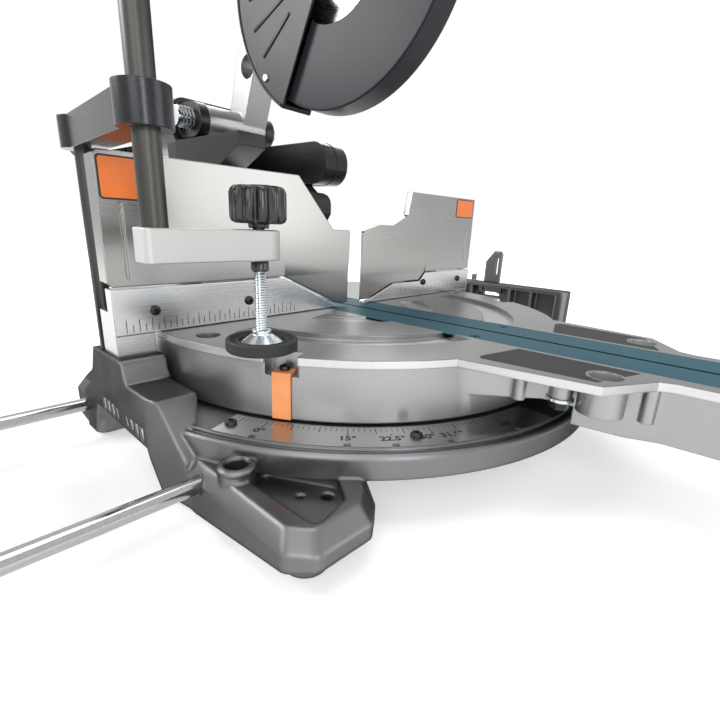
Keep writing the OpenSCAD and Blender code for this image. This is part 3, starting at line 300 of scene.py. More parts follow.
for side, where in ((-1, "left"), (1, "right")):
    marks = []
    for degree in range(-6, 53):
        long, wide = (fifth_long, fifth_wide) if degree % 5 == 0 else (mark_long, mark_wide)
        middle = on_scale(side, degree, mark_inner + long / 2)
        marks.append(middle @ Matrix.Diagonal((wide, long, mark_thick, 1)))
    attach(blocks(f"{where}_scale_marks", marks, black_print), "base")
    dots = [on_scale(side, degree, dot_ring) for degree in dot_stops]
    dot = turned(f"{where}_scale_dots", dots, ((dot_r, 0), (dot_r, mark_thick)), black_print, around=16)
    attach(dot, "base")
    for degree, shift in number_stops:
        spot = on_scale(side, degree + shift, number_ring)
        name = f"{where}_scale_{str(degree).replace('.', '_')}"
        number = figures(name, f"{degree:g}°", black_print, number_tall, spot)
        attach(number, "base")

# Base screws: blackened steel screws that hold the scale plates and the lower fences in place. Their
# domed heads have a hexagon socket.


def plated_finish(name, colour, roughness, metallic=1.0):
    """Plated or polished metal, with a faint unevenness of colour and gloss."""
    made, ink = bare_finish(name)
    fine = grain(ink, size=0.002)
    return surface(made, ink, Base_Color=fine.shades(colour, low=0.85, high=1.15), Metallic=metallic,
                   Roughness=roughness - 0.06 + 0.12 * fine)


def flats(count):
    """Cut of a socket or nut: how far its flats lie inside its corners."""
    part = 2 * math.pi / count
    return lambda turn: math.cos(part / 2) / math.cos(turn % part - part / 2)


def pan_head(radius, height):
    """Rows of a domed screw head with a hexagon socket."""
    socket = 0.42 * radius
    return ((radius, 0), (radius, 0.4 * height), (0.93 * radius, 0.72 * height),
            (0.74 * radius, 0.95 * height), (0.6 * radius, height),
            (socket, height, flats(6)), (0.94 * socket, 0.4 * height, flats(6)))


black_steel = plated_finish("black_steel", colour=(0.030, 0.031, 0.034), roughness=0.26, metallic=0.75)
table_top = 0.110
fence_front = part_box("left_lower_fence")[0].y
facing_front = Matrix.Rotation(math.pi / 2, 4, "X")
scale_screw_ring, scale_screw_turns = 0.240, (66.5, 34.1)
fence_screw_x, fence_screw_up = (0.1395, 0.2275), 0.0184
scale_screws, fence_screws = [], []
for side in (-1, 1):
    for degrees in scale_screw_turns:
        away = math.radians(degrees)
        scale_screws.append(Matrix.Translation((side * scale_screw_ring * math.sin(away),
                                                -scale_screw_ring * math.cos(away), scale_top)))
    for x in fence_screw_x:
        spot = (side * x, fence_front, table_top + fence_screw_up)
        fence_screws.append(Matrix.Translation(spot) @ facing_front)
scale_heads = turned("scale_screw_heads", scale_screws, pan_head(radius=0.0045, height=0.003), black_steel)
fence_heads = turned("fence_screw_heads", fence_screws, pan_head(radius=0.0042, height=0.0028), black_steel)
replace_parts(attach(scale_heads, "base"), "base_screws")
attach(fence_heads, "base")

# Work-stop sockets: bosses beside the ring, each with a spot-faced rim round its bore and a cast collar.
# Thin cast fins stand in the finger slots of both side walls; their pale grey is a painted highlight.


def block(centre, size, turn=Matrix.Identity(4)):
    """The 4x4 of a block with this centre and size."""
    return Matrix.Translation(centre) @ turn @ Matrix.Diagonal((*size, 1))


socket_ring, socket_turn, socket_top = 0.271, math.radians(28.8), 0.048
socket_x, socket_y = socket_ring * math.cos(socket_turn), -socket_ring * math.sin(socket_turn)
sockets = [Matrix.Translation((side * socket_x, socket_y, socket_top)) for side in (-1, 1)]
socket_rows = ((0.0084, -0.0005), (0.0084, 0.0006), (0.0088, 0.0010), (0.0101, 0.0010), (0.0105, 0.0005),
               (0.0117, 0.0004), (0.0126, -0.0004), (0.0126, -0.0034), (0.0119, -0.0040))
rims = turned("socket_rims", sockets, socket_rows, gunmetal, around=64, bored=True)
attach(rims, "base")
wall_face, fin_sunk, fin_z = 0.262, 0.0016, 0.0445
first_fin_y, fin_pitch, fin_places = 0.0405, 0.010, (0, 1, 2, 3, 5, 6, 7, 8)
fin_size, fin_lean = (0.0030, 0.0014, 0.0088), Matrix.Rotation(math.radians(-16), 4, "X")
fins = []
for side in (-1, 1):
    for count in fin_places:
        spot = (side * (wall_face - fin_sunk), first_fin_y - fin_pitch * count, fin_z)
        fins.append(block(spot, fin_size, fin_lean))
# The fins' pale grey colour is a painted highlight for their lit tops.
fin_painted_highlight = cast_finish("fins_painted_highlight", colour=(0.46, 0.463, 0.47), roughness=0.30)
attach(blocks("grip_fins", fins, fin_painted_highlight, edge=0.0003), "base")

# Pivot bolt: the zinc-plated steel bolt that the turntable turns on. It comes up through the hub
# of the base and is hidden under the table.
zinc = plated_finish("zinc_plate", colour=(0.60, 0.65, 0.68), roughness=0.26)
dress("pivot_bolt", zinc)

# Lower fences: two machined aluminium rails screwed across the base, with a rule engraved along
# the foot of the face every 5 mm.


def brushed_along(name, colour, roughness, stretch=(60, 1, 1), soft_edge=0.0012):
    """Metal brushed in straight streaks along the stretched axis."""
    made, ink = bare_finish(name)
    lines = grain(ink, size=0.0008, stretch=stretch, detail=3.0)
    slow = grain(ink, size=0.08)
    return surface(made, ink, Base_Color=lines.shades(colour, low=0.9, high=1.05), Metallic=1.0,
                   Roughness=roughness - 0.08 + 0.1 * lines + 0.08 * slow, Anisotropic=0.4,
                   Normal=skin(ink, lines, depth=0.00003, strength=0.1, soft_edge=soft_edge))


rail_alu = brushed_along("machined_rail", colour=(0.50, 0.505, 0.51), roughness=0.26)
tick_count, first_tick_x, tick_pitch, tick_foot = 34, 0.2505, 0.005, 0.0025
long_tick, short_tick, tick_wide, tick_thick = 0.010, 0.006, 0.0006, 0.00008
for side, where in ((-1, "left"), (1, "right")):
    dress(f"{where}_lower_fence", rail_alu)
    ticks = []
    for count in range(tick_count):
        tall = long_tick if count % 2 == 0 else short_tick
        spot = (side * (first_tick_x - tick_pitch * count), fence_front, table_top + tick_foot + tall / 2)
        ticks.append(block(spot, (tick_wide, tick_thick, tall)))
    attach(blocks(f"{where}_fence_rule", ticks, black_print), "base")

# Sliding fences: tall brushed plates that slide out on the lower fences. Each carries a plain orange
# plate with a dark rim near its outer top corner.
fence_alu = brushed_along("brushed_fence", colour=(0.29, 0.285, 0.277), roughness=0.24, stretch=(90, 1, 1),
                          soft_edge=0.0016)
orange = flat_finish("orange_plastic", colour=(0.90, 0.20, 0.03), roughness=0.36)


def round_outline(wide, tall, corner, steps):
    """Points round a rectangle with round corners, given by its two spans."""
    centres = ((wide[1] - corner, tall[1] - corner), (wide[0] + corner, tall[1] - corner),
               (wide[0] + corner, tall[0] + corner), (wide[1] - corner, tall[0] + corner))
    points = []
    for count, (a, b) in enumerate(centres):
        for step in range(steps + 1):
            turn = math.radians(90 * count + 90 * step / steps)
            points.append((a + corner * math.cos(turn), b + corner * math.sin(turn)))
    return points


def rounded_plate(name, x_span, z_span, corner, y_span, finish):
    """A thin upright plate with round corners, facing the front."""
    shape = bmesh.new()
    outline = round_outline(x_span, z_span, corner, steps=6)
    front, back = y_span
    far, near = ([shape.verts.new((x, y, z)) for x, z in outline] for y in (back, front))
    for step in range(len(outline)):
        shape.faces.new((far[step - 1], far[step], near[step], near[step - 1]))
    shape.faces.new(far[::-1])
    shape.faces.new(near)
    return new_piece(name, shape, finish)


rim_front, plate_front, rim_wide = fence_front - 0.0003, fence_front - 0.0005, 0.0013
rim_corner, plate_corner = 0.003, 0.002
plate_spans = {"left": ((-0.2585, -0.2235), (0.2115, 0.2415)),
               "right": ((0.2075, 0.2525), (0.2160, 0.2410))}
for where, (x_span, z_span) in plate_spans.items():
    dress(f"{where}_upper_fence", fence_alu, edge=0.0006)
    rim = rounded_plate(f"{where}_fence_plate_rim", x_span, z_span, rim_corner, (rim_front, fence_front),
                        black_print)
    inner_x, inner_z = ((a + rim_wide, b - rim_wide) for a, b in (x_span, z_span))
    plate = rounded_plate(f"{where}_fence_plate", inner_x, inner_z, plate_corner, (plate_front, rim_front),
                          orange)
    for part in (rim, plate):
        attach(part, f"{where}_fence")

# Fence knobs: fluted black thumb knobs behind the fences that pinch them to the lower rails. They are
# moulded in plastic over a steel stud.


def moulded_finish(name, colour=(0.009, 0.009, 0.010), roughness=0.38, grain_size=0.0008, depth=0.00006,
                   shine=0.3):
    """Moulded plastic with a spark-eroded grain."""
    made, ink = bare_finish(name)
    fine = grain(ink, grain_size)
    slow = grain(ink, size=0.05)
    return surface(made, ink, Base_Color=slow.shades(colour, low=0.85, high=1.2), Specular_IOR_Level=shine,
                   Roughness=roughness - 0.06 + 0.1 * fine + 0.06 * slow,
                   Normal=skin(ink, fine, depth, strength=0.3, soft_edge=0.0012))


def flutes(count, depth):
    """Cut of a grip: round finger flutes, this share of the radius deep."""
    return lambda turn: 1 - depth * (0.5 + 0.5 * math.cos(count * turn)) ** 2


black_plastic = moulded_finish("black_plastic")
glossy_black = moulded_finish("glossy_black", colour=(0.006, 0.006, 0.0065), roughness=0.19, depth=0.00001,
                              shine=0.6)
facing_back = Matrix.Rotation(-math.pi / 2, 4, "X")
for where in ("left", "right"):
    low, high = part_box(f"{where}_fence_knob")
    back = Matrix.Translation(((low.x + high.x) / 2, low.y, (low.z + high.z) / 2)) @ facing_back
    deep = high.y - low.y
    grip = flutes(count=8, depth=0.2)
    rows = ((0.004, 0), (0.004, deep - 0.018), (0.009, deep - 0.016), (0.0125, deep - 0.0155, grip),
            (0.0145, deep - 0.013, grip), (0.0145, deep - 0.003, grip), (0.0120, deep - 0.0004),
            (0.0105, deep), (0.0095, deep - 0.0012))
    knob = turned(f"{where}_thumb_knob", [back], rows, black_plastic, around=96)
    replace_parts(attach(knob, f"{where}_fence_lock"), f"{where}_fence_knob")

# Side wings: chromed bars that slide out of the base, and sprayed end castings level with the table,
# each with a stop plate that flips up on a pin.
chrome = plated_finish("chromed_bar", colour=(0.40, 0.405, 0.41), roughness=0.13)
for where in ("left", "right"):
    dress(f"{where}_wing_rods", chrome, edge=0)
    dress(f"{where}_wing_end", gunmetal, edge=0.0015)
    dress(f"{where}_wing_stop", gunmetal, edge=0.0006)

# Clamp: a dark steel rod, top arm and post, a blasted light-grey lower arm, and a plated screw with a
# rolled thread. The screw has a black sleeve, a fluted knob and a plated foot in a rubber ring.
post_steel = brushed_along("drawn_steel", colour=(0.062, 0.061, 0.058), roughness=0.36, stretch=(1, 1, 40))
for name in ("clamp_rod", "clamp_post"):
    dress(name, post_steel, edge=0.0008)
dress("clamp_top_arm", black_steel, edge=0.0015)
blasted_grey = cast_finish("blasted_grey", colour=(0.47, 0.47, 0.46), roughness=0.48, metallic=0.5,
                           grain_size=0.0006, depth=0.00012, soft_edge=0.0012)
dress("clamp_arm", blasted_grey, edge=0.0010)
dress("clamp_foot", zinc, edge=0.0005)
screw_low, screw_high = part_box("clamp_screw")
screw_axis, screw_long = (screw_low + screw_high) / 2, screw_high.z - screw_low.z
on_screw = Matrix.Translation((screw_axis.x, screw_axis.y, table_top))
thread_r, thread_pitch, thread_depth = (screw_high.x - screw_low.x) / 2, 0.0018, 0.0008
rows_a_turn = 4


def groove(climb):
    """Cut of a rolled thread on the row that has climbed this many turns."""
    return lambda turn: 1 - thread_depth / thread_r * abs(2 * ((climb - turn / (2 * math.pi)) % 1) - 1)


row_count = round(screw_long / thread_pitch * rows_a_turn)
thread_rows = [(thread_r, screw_low.z - table_top + screw_long * row / row_count, groove(row / rows_a_turn))
               for row in range(row_count + 1)]
thread = turned("clamp_thread", [on_screw], thread_rows, zinc, around=24)
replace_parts(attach(thread, "clamp_spin"), "clamp_screw")
grip, faint_grip = flutes(count=11, depth=0.17), flutes(count=11, depth=0.07)
knob_low, knob_high = (c.z - table_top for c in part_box("clamp_knob"))
knob_r = 0.0192
knob_rows = ((0.0068, knob_low), (0.0072, knob_low + 0.003), (0.0150, knob_low + 0.003),
             (0.0180, knob_low + 0.0042, grip), (knob_r, knob_low + 0.0065, grip),
             (knob_r, knob_high - 0.0045, grip), (0.0180, knob_high - 0.0016, faint_grip),
             (0.0163, knob_high - 0.0003), (0.0152, knob_high), (0.0140, knob_high - 0.0006),
             (0.0135, knob_high - 0.0010))
knob = turned("clamp_knob_grip", [on_screw], knob_rows, glossy_black, around=176)
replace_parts(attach(knob, "clamp_spin"), "clamp_knob")
arm_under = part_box("clamp_arm")[0].z - table_top
sleeve_rows = ((0.0056, arm_under - 0.0078), (0.0062, arm_under - 0.0072), (0.0062, arm_under - 0.0003),
               (0.0060, arm_under))
sleeve = turned("clamp_sleeve", [on_screw], sleeve_rows, glossy_black)
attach(sleeve, "clamp_drop")
pad_rows = ((0.0171, 0.0022), (0.0220, 0.0004), (0.0252, 0.0003), (0.0260, 0.0012), (0.0260, 0.0080),
            (0.0252, 0.0090), (0.0232, 0.0090), (0.0226, 0.0072), (0.0188, 0.0068), (0.0182, 0.0080),
            (0.0171, 0.0080))
pad = turned("clamp_pad_ring", [on_screw], pad_rows, soft_rubber, around=64, bored=True)
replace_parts(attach(pad, "clamp_press"), "clamp_pad")

# Turntable: a cast aluminium table with its front arm. The top and its lip are turned bright, and the
# wall below the lip keeps a satin silver-grey skin. Inside the kerf slot, below its ledge, the walls are
# painted near-black as painted shade. A black tray under the kerf slot catches the chips.
mitre_set = math.radians(3.2)
on_table = Matrix.Rotation(mitre_set, 4, "Z") @ Matrix.Translation((0, 0, table_top))
top_skin, lip_depth, lip_r = 0.0006, 0.0065, 0.2195
kerf_slot_half, kerf_slot_ledge = 0.0272, 0.0035


def across(ink, origin, direction):
    """Distance of a point from an origin, measured along a direction."""
    place = ink.node("TexCoord", out="Object")
    off = ink.node("VectorMath", settings={"operation": "SUBTRACT"}, _at0=place, _at1=tuple(origin))
    along = tuple(direction)
    return ink.node("VectorMath", out="Value", settings={"operation": "DOT_PRODUCT"}, _at0=off, _at1=along)


def table_finish():
    made, ink = bare_finish("turned_table")
    height = across(ink, (0, 0, table_top), (0, 0, 1))
    radius = from_axis(ink)
    off_line = ink.maths("ABSOLUTE", across(ink, (0, 0, 0), on_table.col[0].xyz))
    rings = lathe_lines(ink, radius, per_metre=1400.0)
    fine = grain(ink, size=0.0009)
    slow = grain(ink, size=0.07)
    top = height.above(-top_skin, blur=0.0003)
    above_wall = height.above(-lip_depth - 0.0002, blur=0.0002)
    lip = above_wall * (1 - top) * radius.above(lip_r, blur=0.0005)
    # Below its ledge the kerf slot gets a near-black colour: painted shade for the dark inside of the slot.
    in_slot = 1 - off_line.above(kerf_slot_half, blur=0.0004)
    slot_shade_mask = in_slot * (1 - height.above(-kerf_slot_ledge, blur=0.0003))
    turned_top = rings.tint((0.13, 0.132, 0.134), (0.22, 0.222, 0.224))
    sprayed = slow.tint((0.31, 0.313, 0.316), (0.37, 0.373, 0.376))
    milled = fine.tint((0.50, 0.503, 0.506), (0.64, 0.643, 0.646))
    painted_slot_shade = slow.tint((0.012, 0.012, 0.013), (0.016, 0.016, 0.017))
    colour = slot_shade_mask.tint(lip.tint(top.tint(sprayed, turned_top), milled), painted_slot_shade)
    rough = top * (0.17 * rings - 0.06 - 0.11 * fine) + (0.29 + 0.11 * fine + 0.05 * slow)
    relief = skin(ink, fine * (1 - top), depth=0.00008, strength=0.25, soft_edge=0.0014)
    return surface(made, ink, Base_Color=colour, Metallic=0.9 + 0.08 * top, Roughness=rough, Normal=relief)


dress("turntable", table_finish(), edge=0.0009)
tray_low, tray_high, tray_wall = -0.0255, 0.008, 0.0012
tray_half, tray_front, tray_back = 0.026, -0.377, 0.050
tray_long, tray_mid = tray_back - tray_front, (tray_front + tray_back) / 2
tray = [on_table @ block((0, tray_mid, tray_low + tray_wall / 2), (2 * tray_half, tray_long, tray_wall))]
for side in (-1, 1):
    spot = (side * (tray_half - tray_wall / 2), tray_mid, tray_low + tray_high / 2)
    tray.append(on_table @ block(spot, (tray_wall, tray_long, tray_high)))
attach(blocks("chip_tray", tray, black_plastic, edge=0.0002), "table")

# Kerf plates: a pair of teal plastic strips screwed down either side of the blade's path. Their inner
# edges are undercut to a thin lip. Just under the top face their sides get a bright teal band, a painted
# highlight, and below that a near-black colour, painted shade.
kerf_highlight_from, kerf_shade_from = 0.00035, 0.0010


def kerf_finish():
    made, ink = bare_finish("teal_plastic")
    height = across(ink, (0, 0, table_top), (0, 0, 1))
    edge = 1 - height.above(-kerf_highlight_from, blur=0.0001)
    painted_shade_below = 1 - height.above(-kerf_shade_from, blur=0.0002)
    slow = grain(ink, size=0.05)
    fine = grain(ink, size=0.0012)
    body = slow.tint((0.014, 0.070, 0.098), (0.019, 0.088, 0.120))
    # lip is a painted highlight on the band just under the top face; shadow is painted shade on the sides
    # below.
    lip = slow.tint((0.02, 0.22, 0.30), (0.03, 0.26, 0.35))
    shadow = slow.tint((0.001, 0.004, 0.005), (0.002, 0.006, 0.008))
    return surface(made, ink, Base_Color=painted_shade_below.tint(edge.tint(body, lip), shadow),
                   Roughness=0.40 + 0.12 * fine, Specular_IOR_Level=0.07,
                   Normal=skin(ink, fine, depth=0.00004, strength=0.2))


teal = kerf_finish()
for where in ("left", "right"):
    dress(f"{where}_kerf_plate", teal, edge=0.0004)

# Table screws, pointers and panels: black socket screws in the kerf plates and pointers, flange bolts
# under the arm, a bent orange strip in each rim notch, and dark textured panels let into the arm.
kerf_screw_x, kerf_screw_y = 0.030, (-0.360, -0.1725, 0.040)
arm_bolt_x, arm_bolt_y = 0.073, -0.262
pointer_ring, pointer_turn, pointer_z = 0.214, math.radians(61.9), -0.013
kerf_screws, arm_bolts, pointer_screws = [], [], []
for side in (-1, 1):
    for y in kerf_screw_y:
        kerf_screws.append(on_table @ Matrix.Translation((side * kerf_screw_x, y, 0)))
    arm_bolts.append(on_table @ Matrix.Translation((side * arm_bolt_x, arm_bolt_y, 0)))
    spot = (side * pointer_ring * math.sin(pointer_turn), -pointer_ring * math.cos(pointer_turn), pointer_z)
    pointer_screws.append(on_table @ Matrix.Translation(spot))
sunk_rows = ((0.0028, -0.0041), (0.0043, -0.0016), (0.0043, -0.0011), (0.0040, -0.0009),
             (0.0021, -0.0009, flats(6)), (0.0019, -0.0030, flats(6)))
sunk = turned("kerf_screw_heads", kerf_screws, sunk_rows, black_steel)
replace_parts(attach(sunk, "table"), "table_screws")
nut_rows = ((0.0060, -0.0230, flats(6)), (0.0070, -0.0236, flats(6)), (0.0070, -0.0284, flats(6)),
            (0.0058, -0.0290), (0.0040, -0.0290), (0.0036, -0.0282))
washer_rows = ((0.0088, -0.0200), (0.0095, -0.0204), (0.0095, -0.0222), (0.0086, -0.0231),
               (0.0070, -0.0231))
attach(turned("arm_bolt_heads", arm_bolts, nut_rows, black_steel), "table")
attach(turned("arm_bolt_washers", arm_bolts, washer_rows, zinc), "table")
pointer_heads = turned("pointer_screw_heads", pointer_screws, pan_head(radius=0.004, height=0.0038),
                       black_steel)
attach(pointer_heads, "table")
pointer_orange = flat_finish("pointer_orange", colour=(0.92, 0.35, 0.130), roughness=0.36)
dress("mitre_pointers", pointer_orange, edge=0.0006)
panel_grip = moulded_finish("panel_grip", colour=(0.050, 0.050, 0.052), roughness=0.60, grain_size=0.0006,
                            depth=0.0002, shine=0.06)
dress("arm_panels", panel_grip, edge=0.0003)

# Locks on the arm: the ribbed grip that clamps the mitre angle, with a plated collar and an orange cap,
# and the lever that lifts its detent. Both are moulded in black plastic.
dress("mitre_lock_grip", black_plastic, edge=0.0012)
dress("detent_lever", black_plastic, edge=0.0008)
lock_y, lock_z = -0.420, -0.027
lock_axis = on_table @ Matrix.Translation((0, lock_y, lock_z)) @ facing_front
collar_rows = ((0.0150, 0.0020), (0.0162, 0.0026), (0.0162, 0.0064), (0.0150, 0.0070))
collar = turned("lock_grip_collar", [lock_axis], collar_rows, zinc, around=48)
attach(collar, "mitre_lock")
cap_rows = ((0.0105, 0.0795), (0.0105, 0.0806), (0.0095, 0.0812), (0.0080, 0.0808))
cap = turned("lock_grip_cap", [lock_axis], cap_rows, orange, around=48)
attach(cap, "mitre_lock")

# Tilting arm: a dark sprayed casting on the bevel bolt, with bronze bushes for the rails, a lever that
# locks the tilt and a knob that locks the slide. A printed bevel scale runs over the rear hub.
dark_casting = cast_finish("dark_casting", colour=(0.046, 0.047, 0.049), roughness=0.34, grain_size=0.0006,
                           depth=0.00003)
dress("trunnion_arm", dark_casting, edge=0.0015)
dress("bevel_bolt", zinc)
dress("bevel_lock_lever", black_plastic, edge=0.001)
dress("slide_bushes", plated_finish("bronze", colour=(0.40, 0.24, 0.08), roughness=0.4), edge=0)
dress("slide_lock_knob", black_plastic, edge=0.0008)
hub_r, hub_back, bevel_number_y, bevel_number_tall = 0.046, 0.2612, 0.2495, 0.0055
bevel_long, bevel_short, bevel_wide, bevel_thick = 0.007, 0.0045, 0.0005, 0.0001


def on_hub(degrees, y):
    """Matrix of a place on the rear hub's skin, its y axis to the back and its z axis outwards."""
    return on_table @ Matrix.Rotation(-math.radians(degrees), 4, "Y") @ Matrix.Translation((0, y, hub_r))


bevel_marks = []
for degree in range(-4, 50, 2):
    long = bevel_long if degree % 10 == 0 else bevel_short
    middle = on_hub(degree, hub_back - long / 2)
    bevel_marks.append(middle @ Matrix.Diagonal((bevel_wide, long, bevel_thick, 1)))
white_print = flat_finish("white_print", colour=(0.72, 0.72, 0.70), roughness=0.5)
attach(blocks("bevel_scale_marks", bevel_marks, white_print), "table")
for degree in (0, 15, 30, 45):
    spot = on_hub(degree, bevel_number_y) @ Matrix.Rotation(math.pi, 4, "Z")
    number = figures(f"bevel_scale_{degree}", f"{degree}", white_print, bevel_number_tall, spot)
    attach(number, "table")
needle = on_table @ block(centre=(0, 0.2645, hub_r + 0.0006), size=(0.003, 0.004, 0.0016))
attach(blocks("bevel_needle", [needle], orange, edge=0.0003), "tilt")


def cap_head(radius, height):
    """Rows of a cylindrical screw head with a hexagon socket."""
    socket = 0.55 * radius
    return ((radius, 0), (radius, 0.85 * height), (0.9 * radius, height), (socket, height, flats(6)),
            (0.96 * socket, 0.35 * height, flats(6)))


rail_z, bearing_bolt_y = 0.215, (0.296, 0.384)
to_left, to_right = (Matrix.Rotation(side * math.pi / 2, 4, "Y") for side in (-1, 1))
bearing_bolts = []
for x, outwards in ((-0.057, to_left), (0.087, to_right)):
    for y in bearing_bolt_y:
        bearing_bolts.append(on_table @ Matrix.Translation((x, y, rail_z)) @ outwards)
bearing_heads = turned("bearing_bolts", bearing_bolts, cap_head(radius=0.0055, height=0.004), black_steel)
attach(bearing_heads, "tilt")

# Dust duct: a glossy black plastic housing behind the blade, moulded in two halves with a seam and
# screwed together. A collared port opens on its side, and a rubber nozzle hangs from it.


def bead(name, points, finish, radius, closed=False):
    """A round bead that follows a line of points."""
    line = bpy.data.curves.new(name, "CURVE")
    line.dimensions, line.bevel_depth, line.bevel_resolution = "3D", radius, 2
    spline = line.splines.new("POLY")
    spline.points.add(len(points) - 1)
    for knot, point in zip(spline.points, points):
        knot.co = (*point, 1)
    spline.use_cyclic_u = closed
    line.materials.append(finish)
    piece = bpy.data.objects.new(name, line)
    bpy.context.scene.collection.objects.link(piece)
    return piece


def arc(place, centre, radius, start, end, x, steps=24):
    """Points on an arc in the y-z plane of a 4x4, at one x, counted from +y towards +z in degrees."""
    y, z = centre
    turns = (math.radians(start + (end - start) * step / steps) for step in range(steps + 1))
    return [place @ Vector((x, y + radius * math.cos(t), z + radius * math.sin(t))) for t in turns]


housing_black = moulded_finish("housing_black", colour=(0.006, 0.006, 0.0065), roughness=0.24,
                               grain_size=0.0012)
dress("dust_duct", housing_black, edge=0.0015)
dress("dust_nozzle", soft_rubber, edge=0.0008)
duct_mid, duct_side, duct_back, duct_top, duct_under = 0.045, 0.064, 0.262, 0.187, 0.138
upper_bend = arc(on_table, centre=(0.096, 0.163), radius=0.024, start=90, end=180, x=duct_mid)
lower_bend = arc(on_table, centre=(0.094, 0.160), radius=0.022, start=180, end=270, x=duct_mid)
seam_start, seam_end = (on_table @ Vector((duct_mid, duct_back, z)) for z in (duct_top, duct_under))
seam_line = [seam_start] + upper_bend + lower_bend + [seam_end]
seam = bead("duct_seam", seam_line, black_plastic, radius=0.0006)
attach(seam, "tilt")
duct_screw_yz = ((0.090, 0.162), (0.150, 0.180), (0.150, 0.145), (0.248, 0.180), (0.248, 0.145))
duct_screws = [on_table @ Matrix.Translation((duct_side, y, z)) @ to_right for y, z in duct_screw_yz]
duct_heads = turned("duct_screws", duct_screws, pan_head(radius=0.0032, height=0.0018), black_steel)
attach(duct_heads, "tilt")
port_y, port_z = 0.205, 0.168
port_axis = on_table @ Matrix.Translation((duct_side, port_y, port_z)) @ to_right
port_rows = ((0.0190, 0.0), (0.0215, 0.0), (0.0225, 0.0010), (0.0225, 0.0030), (0.0215, 0.0040),
             (0.0190, 0.0042))
port = turned("port_collar", [port_axis], port_rows, black_plastic, around=64, bored=True)
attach(port, "tilt")

# Slide and chop hinge: chromed tubes with a black end plate, the black carriage casting on their
# front ends, and the plated hinge pin with its return spring.
dress("slide_rails", chrome, edge=0)
dress("rail_end_plate", black_plastic, edge=0.002)
black_casting = cast_finish("black_casting", colour=(0.016, 0.016, 0.017), roughness=0.34, metallic=0.2)
dress("carriage", black_casting, edge=0.0012)
dress("hinge_pin", zinc, edge=0.0006)
dress("return_spring", plated_finish("spring_steel", colour=(0.30, 0.31, 0.33), roughness=0.3), edge=0)
end_plate_back, rail_x = 0.676, (-0.030, 0.060)
plate_bolts = [on_table @ Matrix.Translation((x, end_plate_back, rail_z)) @ facing_back for x in rail_x]
plate_heads = turned("end_plate_bolts", plate_bolts, cap_head(radius=0.007, height=0.003), zinc)
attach(plate_heads, "slider")

# Head: the silver gear case and its arm, the black hood over the blade, and the motor in its ribbed
# black housing with the belt drive inside. The hood is ribbed and screwed to the case.
chop_set, hinge_y, blade_from_hinge = math.radians(51.6), 0.250, (0, -0.240, -0.095)
at_hinge = on_table @ Matrix.Translation((0, hinge_y, rail_z)) @ Matrix.Rotation(-chop_set, 4, "X")
in_head = at_hinge @ Matrix.Translation(blade_from_hinge)
dress("head_casting", cast_finish("cast_silver", colour=(0.34, 0.345, 0.35), roughness=0.38), edge=0.0012)
dress("blade_hood", black_plastic, edge=0.0009)
dress("motor_housing", black_plastic, edge=0.0012)
dress("motor_stator", plated_finish("copper_winding", colour=(0.45, 0.17, 0.06), roughness=0.45), edge=0)
dress("motor_rotor", zinc, edge=0)
dress("drive_belt", soft_rubber, edge=0)


def round_blade(degrees):
    """The head's 4x4 turned about the blade's axis."""
    return in_head @ Matrix.Rotation(math.radians(degrees), 4, "X")


hood_half, hood_rim_r, hood_bore_r, hood_span, hood_bead = 0.022, 0.1458, 0.0385, (-9, 179), 0.0016
for where, x in (("left", -hood_half), ("right", hood_half)):
    rim_line = arc(in_head, (0, 0), hood_rim_r, *hood_span, x, steps=72)
    rim = bead(f"{where}_hood_rim", rim_line, black_plastic, hood_bead)
    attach(rim, "head")
bore_line = arc(in_head, (0, 0), hood_bore_r, *hood_span, -hood_half, steps=40)
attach(bead("hood_bore_rim", bore_line, black_plastic, hood_bead), "head")
hood_rib = block(centre=(-hood_half, 0.098, 0), size=(0.0024, 0.056, 0.0035))
hood_ribs = [round_blade(degrees) @ hood_rib for degrees in range(15, 171, 15)]
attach(blocks("hood_ribs", hood_ribs, black_plastic, edge=0.0008), "head")
hood_bolt_r, case_face, case_bolt_r = 0.137, 0.060, 0.0205
on_hood = Matrix.Translation((-hood_half, hood_bolt_r, 0)) @ to_left
hood_bolts = [round_blade(degrees) @ on_hood for degrees in (7, 52, 97, 142, 172)]
hood_heads = turned("hood_bolts", hood_bolts, pan_head(radius=0.0042, height=0.0026), zinc)
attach(hood_heads, "head")
on_case = Matrix.Translation((case_face, case_bolt_r, 0)) @ to_right
case_bolts = [round_blade(degrees) @ on_case for degrees in (200, 245, 295, 340)]
case_heads = turned("gear_case_bolts", case_bolts, cap_head(radius=0.0032, height=0.003), black_steel)
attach(case_heads, "head")
motor_up = 0.060
on_motor = in_head @ Matrix.Translation((0, 0, motor_up)) @ to_right
rib_foot, rib_top, first_rib_x, rib_pitch = 0.0398, 0.0412, 0.079, 0.010
for count in range(5):
    x = first_rib_x + rib_pitch * count
    rib_rows = ((rib_foot, x), (rib_top, x + 0.0006), (rib_top, x + 0.0030), (rib_foot, x + 0.0036))
    rib = turned(f"motor_rib_{count + 1}", [on_motor], rib_rows, black_plastic, around=72)
    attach(rib, "head")
end_rows = ((0.0300, 0.1798), (0.0296, 0.1812), (0.0262, 0.1816), (0.0256, 0.1806), (0.0120, 0.1806),
            (0.0112, 0.1816), (0.0080, 0.1816), (0.0076, 0.1806))
end_cap = turned("motor_end_cap", [on_motor], end_rows, glossy_black, around=64)
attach(end_cap, "head")
end_slot = block(centre=(0.0188, 0, 0.1807), size=(0.0100, 0.0026, 0.0003))
end_slots = [on_motor @ Matrix.Rotation(math.radians(30 * count), 4, "Z") @ end_slot for count in range(12)]
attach(blocks("motor_end_slots", end_slots, soft_rubber), "head")

# Blade: a ground steel disc with carbide tips brazed to its teeth, held between the spindle's flange
# and a hexagon bolt.


